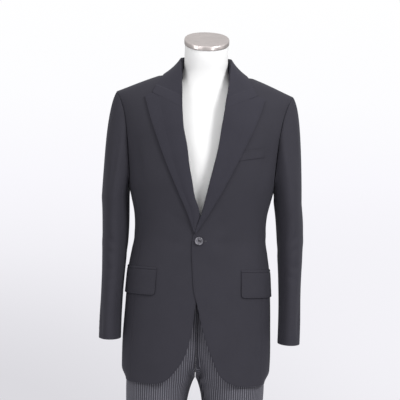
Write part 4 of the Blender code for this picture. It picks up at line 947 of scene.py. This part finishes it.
class Finish:
    """A material whose nodes are added by expressions."""

    def __init__(self, name, **constants):
        self.material = bpy.data.materials.new(name)
        self.material.use_nodes = True
        self.tree = self.material.node_tree
        self.shader = self.tree.nodes["Principled BSDF"]
        for label, value in constants.items():
            self.shader.inputs[label.replace("_", " ")].default_value = value

    def node(self, kind, settings, inputs, output=0):
        """Any node: its type, its settings, and the values or links of its sockets."""
        made = self.tree.nodes.new(kind)
        for label, value in settings.items():
            setattr(made, label, value)
        for socket, value in inputs.items():
            self.feed(made.inputs[socket], value)
        return Value(self, made.outputs[output])

    def feed(self, socket, value):
        if isinstance(value, Value):
            self.tree.links.new(value.socket, socket)
        elif value is not None:
            socket.default_value = value

    def set(self, label, value):
        self.feed(self.shader.inputs[label], value)

    def step(self, value, start, end, low=0.0, high=1.0):
        return self.node("ShaderNodeMapRange", dict(interpolation_type="SMOOTHSTEP"),
                         {0: value, 1: start, 2: end, 3: low, 4: high})

    def blend(self, part, first, second):
        """A colour between two, by part."""
        return self.node("ShaderNodeMix", dict(data_type="RGBA"),
                         {0: part, 6: colour(first), 7: colour(second)}, 2)

    def shades(self, base, factor):
        """A colour made lighter or darker by a factor."""
        return self.node("ShaderNodeVectorMath", dict(operation="SCALE"), {0: base, 3: factor})

    def ramp(self, part, stops):
        """A colour ramp through (place, colour) stops."""
        made = self.tree.nodes.new("ShaderNodeValToRGB")
        marks = made.color_ramp.elements
        while len(marks) < len(stops):
            marks.new(0.5)
        for mark, (place, tone) in zip(marks, stops):
            mark.position, mark.color = place, colour(tone)
        self.feed(made.inputs[0], part)
        return Value(self, made.outputs[0])

    def spots(self):
        return self.node("ShaderNodeTexCoord", {}, {}, "Object")

    def flat(self, label):
        """The two distances of a UV map, each as a value."""
        return self.split(self.node("ShaderNodeUVMap", dict(uv_map=label), {}), "XY")

    def split(self, vector, axes="XYZ"):
        """Coordinates of a vector, each as a value."""
        return [self.node("ShaderNodeSeparateXYZ", {}, {0: vector}, axis) for axis in axes]

    def joined(self, x, y, z=0.0):
        return self.node("ShaderNodeCombineXYZ", {}, {0: x, 1: y, 2: z})

    def noise(self, place, scale, detail=2.0, roughness=0.5):
        return self.node("ShaderNodeTexNoise", {},
                         {"Vector": place, "Scale": scale, "Detail": detail, "Roughness": roughness})

    def bump(self, height, distance, strength=1.0, under=None):
        return self.node("ShaderNodeBump", {}, {"Height": height, "Distance": distance,
                                                "Strength": strength, "Normal": under})


class Room(Finish):
    """The studio's surroundings, written in the same way as a finish."""

    def __init__(self, tree):
        self.tree = tree


def colour(value):
    """sRGB numbers from 0 to 255, as a linear colour."""
    if isinstance(value, Value):
        return value
    part = np.array(value, float) / 255
    linear = np.where(part <= 0.04045, part / 12.92, ((part + 0.055) / 1.055) ** 2.4)
    return (*linear.tolist(), 1.0)


def pick_stitches(finish):
    """Short dents in a row along the nearest stitched edge, from 0 to 1. Wool also paints them darker:
    painted shade in the dents.
    """
    along, away = finish.flat("edge")
    dash = (along / STITCH_STEP).maths("FRACT").band(0.5, 0.09, 0.08)
    return away.band(STITCH_IN, 0.0003, 0.0005) * dash


WORSTED = dict(Sheen_Weight=0.06, Sheen_Roughness=0.45, Specular_IOR_Level=0.12)


def wool(name, ground):
    """Fine smooth wool: a 2-2 twill that slants across the grain, with a short soft nap."""
    finish = Finish(name, Sheen_Tint=(0.85, 0.87, 1.0, 1.0), **WORSTED)
    u, v = finish.flat("cloth")
    place = finish.spots()
    twill = (u + v).wave(0.0011)
    yarn = (v - u * 0.15).wave(0.00075)
    weave = twill * 0.7 + yarn * 0.3
    nap = finish.noise(place, 900.0, 3.0, 0.6)
    cloud = finish.noise(place, 22.0, 3.0, 0.55)
    stretch = finish.noise(finish.joined(u * 5.0, v), 60.0, 2.0)
    stitches = pick_stitches(finish)
    # the pick stitches' dents are painted 35 % darker here: painted shade in the dents
    tone = (weave * 0.10 + nap * 0.16 + cloud * 0.14 + stretch * 0.06 + 0.77) * (1.0 - stitches * 0.35)
    finish.set("Base Color", finish.shades(colour(ground)[:3], tone))
    finish.set("Roughness", nap * 0.14 + 0.74)
    fine = finish.bump(weave * 0.55 + nap * 0.45, 0.00012, 0.35)
    finish.set("Normal", finish.bump(stitches * -1.0 + cloud * 0.25, 0.0006, 0.6, fine))
    return finish.material


def striped_wool(name):
    """Grey worsted with a light stripe every 5 mm, a fainter one between, and a fine broken hairline."""
    finish = Finish(name, Sheen_Tint=(0.88, 0.9, 1.0, 1.0), **WORSTED)
    u, v = finish.flat("cloth")
    place = finish.spots()
    shake = (finish.noise(finish.joined(u * 3.0, v), 90.0, 2.0) - 0.5) * 0.0004
    part = ((u + shake) / STRIPE).maths("FRACT")
    wide = part.band(0.5, 0.15, 0.12)
    thin = part.band(0.0, 0.035, 0.05) + part.band(1.0, 0.035, 0.05)
    broken = finish.step(finish.noise(finish.joined(u * 0.2, v), 1400.0, 1.0), 0.35, 0.6, 0.55, 1.0)
    twill = (u + v).wave(0.0010)
    nap = finish.noise(place, 900.0, 3.0, 0.6)
    cloud = finish.noise(place, 18.0, 3.0, 0.55)
    light = (wide * 0.85 + thin * 0.3).maths("MINIMUM", 1.0) * broken
    tone = twill * 0.08 + nap * 0.18 + cloud * 0.12 + 0.81
    finish.set("Base Color", finish.shades(finish.blend(light, (54, 53, 60), (132, 131, 140)), tone))
    finish.set("Roughness", nap * 0.14 + 0.74)
    finish.set("Normal", finish.bump(twill * 0.4 + nap * 0.4 + light * 0.4, 0.00014, 0.35))
    return finish.material


def horn(name, dark, pale):
    """Polished horn: streaks along one way, bent by a slow noise."""
    finish = Finish(name, Specular_IOR_Level=0.6)
    place = finish.spots()
    bend = finish.noise(place, 160.0, 2.0)
    x, z = finish.split(place, "XZ")
    streak = finish.noise(finish.joined(x * 700.0 + bend * 2.5, z * 160.0 + bend * 2.0), 1.0, 3.0)
    cloud = finish.noise(place, 90.0, 2.0)
    finish.set("Base Color", finish.blend(finish.step(streak * 0.7 + cloud * 0.3, 0.36, 0.62), dark, pale))
    finish.set("Roughness", streak * 0.16 + 0.22)
    finish.set("Normal", finish.bump(streak, 0.00008, 0.4))
    return finish.material


def thread(name, base):
    """Sewing thread, made lighter and darker by its fine twist."""
    finish = Finish(name, Sheen_Weight=0.3, Roughness=0.6)
    twist = finish.noise(finish.spots(), 2600.0, 1.0)
    finish.set("Base Color", finish.shades(colour(base)[:3], twist * 0.5 + 0.75))
    finish.set("Normal", finish.bump(twist, 0.0001, 0.5))
    return finish.material


def form_skin(name):
    """The form's white jersey cover: fine ribs of the knit, and a little unevenness."""
    finish = Finish(name, Sheen_Weight=0.08, Specular_IOR_Level=0.3)
    place = finish.spots()
    x, y, z = finish.split(place)
    around = y.maths("ARCTAN2", x) * 0.056
    knit = around.wave(0.0012) * 0.6 + z.wave(0.0009) * 0.4
    cloud = finish.noise(place, 14.0, 3.0)
    finish.set("Base Color", finish.blend(cloud * 0.5 + knit * 0.1, (248, 248, 248), (254, 254, 253)))
    finish.set("Roughness", cloud * 0.12 + 0.55)
    finish.set("Normal", finish.bump(knit * 0.6 + cloud, 0.0002, 0.25))
    return finish.material


def satin_metal(name, dark, pale, way, base_roughness, dents=0.0):
    """Brushed metal: fine scratches drawn out along one way, soft clouds of wear, and shallow dents."""
    finish = Finish(name, Metallic=1.0)
    place = finish.spots()
    x, y, z = finish.split(place)
    if way == "around":
        drawn = finish.joined(y.maths("ARCTAN2", x) * 1.4, 0.0, z * 900.0)
    elif way == "up":
        drawn = finish.joined(x * 900.0, y * 900.0, z * 3.0)
    else:
        drawn = finish.joined(x * 4.0, y * 900.0, z * 900.0)
    scratch = finish.noise(drawn, 1.0, 4.0, 0.6)
    cloud = finish.noise(place, 26.0, 3.0)
    finish.set("Base Color", finish.blend(scratch * 0.5 + cloud * 0.4, dark, pale))
    finish.set("Roughness", scratch * 0.14 + cloud * 0.08 + base_roughness)
    dent = finish.bump(finish.noise(place, 42.0, 1.0), dents, 1.0) if dents else None
    finish.set("Normal", finish.bump(scratch, 0.00006, 0.3, dent))
    return finish.material


jacket_wool = wool("jacket_wool", (54, 53, 60))
lapel_wool = wool("lapel_wool", (54, 53, 61))
trouser_wool = striped_wool("trouser_wool")
front_horn = horn("front_button_horn", (58, 57, 63), (132, 130, 138))
sleeve_horn = horn("sleeve_button_horn", (44, 43, 48), (84, 82, 88))
dark_thread = thread("button_thread", (52, 51, 57))
white_skin = form_skin("form_jersey")
cap_metal = satin_metal("cap_satin", (186, 178, 176), (230, 222, 220), "around", 0.30, 0.004)
base_steel = satin_metal("base_steel", (150, 150, 152), (180, 180, 183), "across", 0.28)
pole_steel = satin_metal("pole_steel", (158, 158, 160), (190, 190, 193), "up", 0.22)


# ---- the jacket ----

FINE = 1.0


def grid(wide, long, columns, rows, border=BORDER):
    """Parameters of a piece about so wide and long, closer along its borders."""
    return dict(across=spread(int(columns * FINE), wide, border), up=spread(int(rows * FINE), long, border))


def leaf_across(share):
    """The parameter across a folded leaf, at a share of its width past the fold."""
    return FOLD_SHARE + (1 - FOLD_SHARE) * share


def make_jacket():
    """Every sheet of the jacket: each side's in turn, then the welt and the collar."""
    in_wool = partial(cloth, finish=jacket_wool, slot="jacket_cloth")
    folded = partial(cloth, finish=lapel_wool, slot="jacket_cloth", held="folded")
    for name, side in SIDES:
        on_body = partial(in_wool, side=side, relief=body_relief)
        on_front = ("front_" + name,)
        edging = on_body("hip_jet_" + name, jet, edges=(FREE, FREE, SEAM, SEAM), thickness=TRIM_CLOTH,
                         held=None, **grid(0.155, 0.006, 40, 8, 0.0004))
        on_body("front_" + name, partial(front, name), edges=(FREE, SEAM, FREE, SEAM), stitched=(0, 2),
                with_pieces=(edging,), **grid(0.26, 0.77, 62, 170))
        on_body("side_body_" + name, side_body, edges=PANEL, **grid(0.20, 0.50, 44, 110))
        on_body("back_" + name, back, edges=PANEL, **grid(0.24, 0.77, 54, 170))
        folded("lapel_" + name, partial(lapel, name), side=side, dip=FOLDED_DIP, thickness=LAPEL_CLOTH,
               edges=(HIDDEN, FREE, FREE, leaf_across(gorge_corner(name) - GORGE_LOOSE)), stitched=(1, 3),
               rests_on=on_front, across=lapel_columns(34), up=spread(int(110 * FINE), 0.34, BORDER))
        for kind, wide, columns in (("topsleeve", 0.20, 56), ("undersleeve", 0.15, 40)):
            steps = grid(wide, 0.68, columns, 150)
            turns = sleeve_turn(kind, steps["across"][None, :], 2 * steps["up"][:, None])
            in_wool(kind + "_" + name, partial(sleeve_part, kind, name), edges=PANEL, side=side,
                    relief=partial(limb_relief, SLEEVE_CLOTH, name, turns), rests_on=on_front, **steps)
        on_body("hip_flap_" + name, flap, edges=(FREE, FREE, FREE, SEAM), thickness=FLAP_CLOTH,
                stitched=(0, 1, 2), rests_on=on_front, across=flap_columns(40), up=spread(16, 0.061, 0.0008))
    in_wool("breast_welt", welt, edges=(FREE, FREE, SEAM, FREE), thickness=TRIM_CLOTH, relief=body_relief,
            rests_on=("front_left",), stitched=(1, 3), **grid(0.077, 0.023, 30, 12, 0.0006))
    gorge = leaf_across(1 - GORGE_LOOSE / gorge_corner("left"))
    collar = partial(folded, thickness=COLLAR_CLOTH, rests_on=("back_left", "back_right"))
    collar("collar_fall", collar_fall, edges=(HIDDEN, FREE, gorge, gorge), stitched=(1,), dip=FOLDED_DIP,
           across=lapel_columns(26), up=spread(int(220 * FINE), 0.5, BORDER))
    collar("collar_stand", collar_stand, edges=(HIDDEN, SEAM, SEAM, SEAM), **grid(0.035, 0.32, 10, 120))


def lapel_columns(count):
    """The fold's share in even steps, then even columns, closer at the free edge."""
    fold = np.linspace(0, FOLD_SHARE, 11)[:-1]
    rest = spread(int(count * FINE), 0.10, BORDER)
    return np.concatenate((fold, leaf_across(rest[rest > 0.001])))


def flap_columns(count):
    """Columns of a flap, crowded across its two round corners by a quarter circle's cosines."""
    corner = FLAP["corner"] / FLAP["length"]
    bend = corner * (1 - np.cos(np.linspace(0, math.pi / 2, 12)))
    middle = np.linspace(corner, 1 - corner, count)[1:-1]
    edge = np.array((0.0004, 0.0011)) / FLAP["length"]
    return np.unique(np.concatenate((bend, edge, middle, 1 - bend, 1 - edge)))


# ---- buttons ----

# A button's turned rim, as shares of its radius and height, from its foot to its dished face.
BUTTON_RIM = ((0.60, 0.0), (0.80, 0.06), (0.94, 0.26), (0.995, 0.48), (1.0, 0.62), (0.985, 0.80),
              (0.95, 0.94), (0.90, 1.0), (0.85, 0.985), (0.80, 0.90), (0.76, 0.76), (0.72, 0.66),
              (0.68, 0.62))
BUTTON_FACE = 0.60                  # height of the dished face, as a share of the button's height
BUTTON_FOOT = 0.0006                # from the cloth's surface to the foot of a button
FRONT_BUTTON = dict(radius=0.0100, height=0.0034, hole=0.0011, spread=0.0024, rings=34, sides=112)
SLEEVE_BUTTON = dict(radius=0.0073, height=0.0028, hole=0.0008, spread=0.0017, rings=22, sides=72)
BUTTONHOLE = dict(away=0.0075, length=0.0105, half=0.0011, eye=0.0019, thread=0.00055)


def ways_beside(facing):
    """The level way and the upward way that are square to a facing."""
    aside = unit(np.cross((0.0, 0.0, 1.0), facing))
    return aside, np.cross(facing, aside)


def button_shape(spot, facing, size):
    """Points of a button: its rim is a turned profile, and its dished face is a disc of rings with four
    pits, each a smooth step down within the hole's radius."""
    aside, upwards = ways_beside(facing)
    turn = circle(size["sides"])[None, :]
    rim = np.array(BUTTON_RIM)
    face = np.linspace((0.66, BUTTON_FACE), (0.02, BUTTON_FACE), size["rings"])
    reach, level = np.concatenate((rim, face)).T[..., None]
    reach, level = reach * size["radius"], level * size["height"] + 0 * turn
    x, y = reach * np.cos(turn), reach * np.sin(turn)
    for hole_turn in math.pi / 4 + circle(4):
        away = np.hypot(x - size["spread"] * math.cos(hole_turn), y - size["spread"] * math.sin(hole_turn))
        pit = 1 - fade(away, size["hole"] * 0.75, size["hole"] * 1.15)
        level[len(rim):] -= pit[len(rim):] * size["height"] * 0.5
    return spot + x[..., None] * aside + y[..., None] * upwards + level[..., None] * facing


def stitch_shape(start, end, facing, radius, arch, sides=8, count=10):
    """A thread from one hole to another: a tube on a half sine, its two ends below the button's face."""
    part = np.linspace(0, 1, count)[:, None]
    line = mix(start, end, part) + arch * (np.sin(math.pi * part) ** 0.6 - 0.35) * facing
    aside = np.cross(unit(end - start), facing)
    turn = circle(sides)[:, None]
    return line[:, None] + radius * (np.cos(turn) * aside + np.sin(turn) * facing)


def make_button(name, surface, size, finish):
    """A button that stands on a surface, given by its point at each lift, with three threads over each
    pair of holes."""
    spot = surface(BUTTON_FOOT)
    facing = unit(surface(BUTTON_FOOT + 0.01) - spot)
    closed_rings(name + "_horn", [button_shape(spot, facing, size)], finish, "horn", name)
    aside, upwards = ways_beside(facing)
    face = spot + facing * size["height"] * 0.62
    near = size["spread"] * math.sqrt(0.5)
    tubes = []
    for offset in (-1, 1):
        for shift in (-1, 0, 1):
            middle = face + aside * (near * offset + shift * size["hole"] * 0.42)
            tubes.append(stitch_shape(middle - upwards * near, middle + upwards * near, facing,
                                      size["hole"] * 0.24, size["hole"] * (0.8 - 0.15 * abs(shift))))
    closed_rings(name + "_thread", tubes, dark_thread, "jacket_cloth")


def make_buttons():
    """The front button, and four at each cuff along the sleeve's back seam."""
    x, z = np.array(FRONT_BUTTON_AT)
    make_button("front_button", lambda lift: jacket_point(x, z, -1, OVERLAP_LIFT + lift),
                FRONT_BUTTON, front_horn)
    for name, side in SIDES:
        for number in range(4):
            z = CUFF_BUTTONS["first_z"] + number * CUFF_BUTTONS["apart"]
            rise = np.array((z - CUFF_Z) / (SLEEVE_HEAD_Z - CUFF_Z))
            turn = CUFF_BUTTONS["turn"] - sleeve_back_turn(rise)
            make_button("sleeve_button_%s_%d" % (name, number + 1),
                        lambda lift: sleeve(name, turn, rise, np.array(lift)) * mirror(side),
                        SLEEVE_BUTTON, sleeve_horn)


def make_buttonhole():
    """The worked buttonhole beside the front button: a raised stadium of stitches, ending in an eye. It
    is a closed tube whose radius waves once for each stitch."""
    turn, ring = circle(120), circle(8)[:, None]
    along = np.cos(turn)
    x = FRONT_BUTTON_AT[0] + BUTTONHOLE["away"] + BUTTONHOLE["length"] * along
    wide = mix(BUTTONHOLE["half"], BUTTONHOLE["eye"], np.exp(-((along + 0.85) / 0.22) ** 2))
    z = FRONT_BUTTON_AT[1] + wide * signed_power(np.sin(turn), 0.55)
    centre, above = (jacket_point(x, z, -1, np.full(x.shape, OVERLAP_LIFT + lift))
                     for lift in (0.0002, 0.0012))
    outwards = unit(above - centre)
    aside = np.cross(unit(np.roll(centre, -1, axis=0) - np.roll(centre, 1, axis=0)), outwards)
    thick = (BUTTONHOLE["thread"] * (1 + 0.16 * np.sin(turn * 60)))[:, None, None]
    spots = centre[:, None] + thick * (np.cos(ring) * aside[:, None] + np.sin(ring) * outwards[:, None])
    facing = np.cross(spots[0, 1] - spots[0, 0], spots[1, 0] - spots[0, 0])
    cells = quads(*spots.shape[:2], flip=np.dot(facing, spots[0, 0] - centre[0]) < 0, wrap=(0, 1))
    piece_of("front_buttonhole", mesh_of("front_buttonhole", spots.reshape(-1, 3), cells), dark_thread,
             "jacket_cloth")


# ---- the trousers ----

PRESSED = dict(height=0.0010, width=0.0022, fades=(0.92, 1.02))


def crease_distance(side, across, up, length=2001):
    """Distance round the leg from the line of its pressed crease to each point, at each height: the
    grain on which the stripes run. The line runs upright over the fork and the seat. Where the leg
    faces forwards or back the distance is taken along x, so that the stripes hang upright there."""
    z = mix(*LEG_Z, up)
    fine = np.linspace(-90, 90, length)[None, :]
    ring = trouser_ring(fine if side < 0 else 180 - fine, z[:, :1])
    steps = np.diff(ring, axis=1)
    long, wide = np.linalg.norm(steps, axis=-1), np.abs(steps[..., 0])
    steps = np.cumsum(mix(long, wide, fade(wide / np.maximum(long, 1e-12), 0.50, 0.80)), axis=1)
    run = np.concatenate((np.zeros((len(steps), 1)), steps), axis=1)
    x, row = ring[..., 0], np.arange(len(z))
    nearest = np.abs(x - LEG_MIDDLE_X).argmin(axis=1)
    before, after = x[row, np.maximum(nearest - 1, 0)], x[row, np.minimum(nearest + 1, length - 1)]
    here = nearest + (LEG_MIDDLE_X - x[row, nearest]) / np.maximum((after - before) / 2, 1e-6)
    line = np.array([np.interp(spot, np.arange(length), steps) for spot, steps in zip(here, run)])
    place = (leg_turn(-1, z, across) + 90) / 180 * (length - 1)
    low = np.clip(place.astype(int), 0, length - 2)
    row = row[:, None]
    return mix(run[row, low], run[row, low + 1], place - low) - line[:, None]


def make_trousers():
    """The legs' panels, with the pressed crease as a fine ridge, and the two halves of the waistband."""
    for name, side in SIDES:
        striped = partial(cloth, finish=trouser_wool, slot="trouser_cloth", side=side)
        for part, facing in (("front", -1), ("back", 1)):
            steps = grid(0.19, 1.06, 58, 230)
            across, up = np.broadcast_arrays(steps["across"][None, :], steps["up"][:, None])
            run, z = crease_distance(facing, across, up), mix(*LEG_Z, up)
            ridge = PRESSED["height"] * np.exp(-(run / PRESSED["width"]) ** 2)
            ridge = ridge * (1 - fade(z, *PRESSED["fades"]))
            if facing < 0:
                ridge = ridge - FORK_FOLD[name] * fork_fold(run - run[:, :1], z)
            slack = partial(limb_relief, LEG_CLOTH, name, leg_turn(facing, z, across))
            striped("trouser_%s_%s" % (part, name), partial(trouser_panel, facing), edges=PANEL,
                    relief=lambda spots: slack(spots) + ridge,
                    grain=lambda flat: (run, flat[..., 2]), **steps)
        striped("waistband_" + name, waistband, edges=(SEAM, SEAM, SEAM, FREE), **grid(0.33, 0.038, 110, 10))


# ---- form, cap and stand ----

FORM_EDGE_Z = (0.848, 0.8485, 0.850, 0.854)     # heights of the rings round the form's lower edge


def make_form():
    """The form's rings at fine heights, on the same sections as the solid's; the cap is the neck's
    section scaled along a rounded profile."""
    top_z = FORM["z"][-1]
    z = np.concatenate((FORM_EDGE_Z, np.linspace(0.860, top_z, 170)))[:, None]
    turn, power = circle(144)[None, :], 2 / FORM_POWER
    tilt = np.tan(np.radians(CAP_TILT * fade(z, *NECK_TILT_Z)))

    def ring(z):
        half_width, ahead, behind, mid_y = read(FORM, z, "half_width", "front", "back", "mid_y")
        depth = np.where(np.sin(turn) < 0, ahead, behind)
        x, y = half_width * signed_power(np.cos(turn), power), depth * signed_power(np.sin(turn), power)
        return x, y, mid_y

    x, y, mid = ring(z)
    closed_rings("form_body", [points(x, mid + y, z + y * tilt)], white_skin, "form_skin", "form_torso")
    x, y, mid = ring(np.full((1, 1), top_z))
    height, scale = CAP_PROFILE["height"][:, None], CAP_PROFILE["scale"][:, None]
    x, y = x * scale, y * scale
    spots = points(x, mid + y, CAP_BOTTOM_Z + height + y * math.tan(math.radians(CAP_TILT)))
    closed_rings("neck_cap_satin", [spots], cap_metal, "satin_metal", "neck_cap")


POLE_RINGS_Z = (0.0103, 0.0110, 0.30, 0.60, 0.8470, 0.8477)
# The pole collar's turned profile, as radius and height.
POLE_COLLAR = ((0.0318, 0.0103), (0.0320, 0.0106), (0.0320, 0.0250), (0.0318, 0.0280), (0.0310, 0.0302),
               (0.0296, 0.0316), (0.0278, 0.0321), (0.0180, 0.0323), (0.0165, 0.0318), (0.0156, 0.0306),
               (0.0153, 0.0290))


def make_stand():
    """The pole and its collar as turned profiles. The base plate keeps its own mesh."""
    turn = circle(64)[None, :]

    def disc(profile):
        radius, z = np.array(profile).T[..., None]
        return points(POLE_X + radius * np.cos(turn), radius * np.sin(turn), z)

    pole = [(POLE_RADIUS, z) for z in POLE_RINGS_Z]
    closed_rings("pole_tube", [disc(pole)], pole_steel, "steel", "pole")
    closed_rings("pole_flange", [disc(POLE_COLLAR)], base_steel, "steel", "pole_collar")
    for slot in bpy.data.objects["base_plate"].material_slots:
        slot.material = base_steel


# ---- floor, light and camera ----

FLOOR_HALF = 3.4
# The backdrop's tones, from below to above: painted shade, darker towards the bottom.
BACKDROP = ((0.05, (219, 218, 223)), (0.22, (228, 227, 232)), (0.45, (241, 240, 245)),
            (0.64, (249, 248, 253)), (0.80, (253, 253, 255)), (1.0, (255, 255, 255)))
LIGHTS_AIM = (0.0, 0.0, 1.45)
CAMERA_AT = (-0.00325, -3.2, 1.235)
CAMERA_ROLL = 2.0


def make_floor():
    """A sheet of paper under the stand, which fades out before its edges."""
    floor = bpy.data.meshes.new("floor")
    corners = [(x * FLOOR_HALF, y * FLOOR_HALF, 0) for x, y in ((-1, -1), (1, -1), (1, 1), (-1, 1))]
    floor.from_pydata(corners, [], [(0, 1, 2, 3)])
    paper = Finish("floor_paper", Roughness=0.9, Specular_IOR_Level=0.1)
    place = paper.spots()
    away = paper.node("ShaderNodeVectorMath", dict(operation="LENGTH"), {0: place}, "Value")
    paper.set("Base Color", paper.blend(paper.noise(place, 3.0, 3.0), (236, 235, 239), (244, 243, 247)))
    paper.set("Alpha", paper.step(away, 1.6, 3.3, 1.0, 0.0))
    floor.materials.append(paper.material)
    placed("floor", floor)


def make_room():
    """Soft light from all round, stronger from above, and the backdrop that the camera sees, with painted
    shade that darkens it towards the bottom and, low down, more on the left.
    """
    world = bpy.data.worlds.new("studio")
    bpy.context.scene.world = world
    world.use_nodes = True
    room = Room(world.node_tree)
    x, z = room.split(room.node("ShaderNodeTexCoord", {}, {}, "Generated"), "XZ")
    # painted shade: low down, the backdrop is darker on the left than on the right
    low = room.step(z, 0.0, -0.152) * room.step(x, -0.2, 0.2, -0.09, 0.09)
    height = room.node("ShaderNodeMapRange", {}, {0: z + low, 1: -0.24, 2: 0.16, 3: 0.0, 4: 1.0})
    seen = room.node("ShaderNodeBackground", {}, {"Color": room.ramp(height, BACKDROP)})
    soft = room.node("ShaderNodeBackground", {}, {"Color": colour((255, 255, 255)),
                                                  "Strength": room.step(z, -0.5, 0.9, 0.22, 0.85)})
    eye_sees = room.node("ShaderNodeLightPath", {}, {}, "Is Camera Ray")
    both = room.node("ShaderNodeMixShader", {}, {0: eye_sees, 1: soft, 2: seen})
    world.node_tree.links.new(both.socket, world.node_tree.nodes["World Output"].inputs["Surface"])


def soft_light(name, spot, wide, power):
    """A square lamp that faces the suit's chest."""
    light = bpy.data.lights.new(name, "AREA")
    light.shape, light.size, light.size_y, light.energy = "RECTANGLE", wide, wide, power
    turn = (Vector(LIGHTS_AIM) - Vector(spot)).to_track_quat("-Z", "Y")
    placed(name, light).matrix_world = Matrix.Translation(spot) @ turn.to_matrix().to_4x4()


def make_camera():
    """Level, 3.2 m in front of the suit, rolled two degrees, on a long lens."""
    camera = bpy.data.cameras.new("camera")
    camera.sensor_width, camera.lens, camera.sensor_fit = 36.0, 115.2, "HORIZONTAL"
    camera.clip_start, camera.clip_end = 0.1, 60.0
    eye = placed("camera", camera)
    eye.matrix_world = (Matrix.Translation(CAMERA_AT) @ Euler((math.pi / 2, 0.0, 0.0)).to_matrix().to_4x4()
                        @ Matrix.Rotation(math.radians(CAMERA_ROLL), 4, "Z"))
    bpy.context.scene.camera = eye


make_jacket()
make_buttons()
make_buttonhole()
make_trousers()
make_form()
make_stand()
make_floor()
make_room()
soft_light("key", (2.0, -2.1, 3.2), 0.9, 77.0)
soft_light("fill", (-2.1, -2.3, 3.0), 1.6, 32.0)
make_camera()
bpy.context.scene.view_settings.view_transform = "Standard"
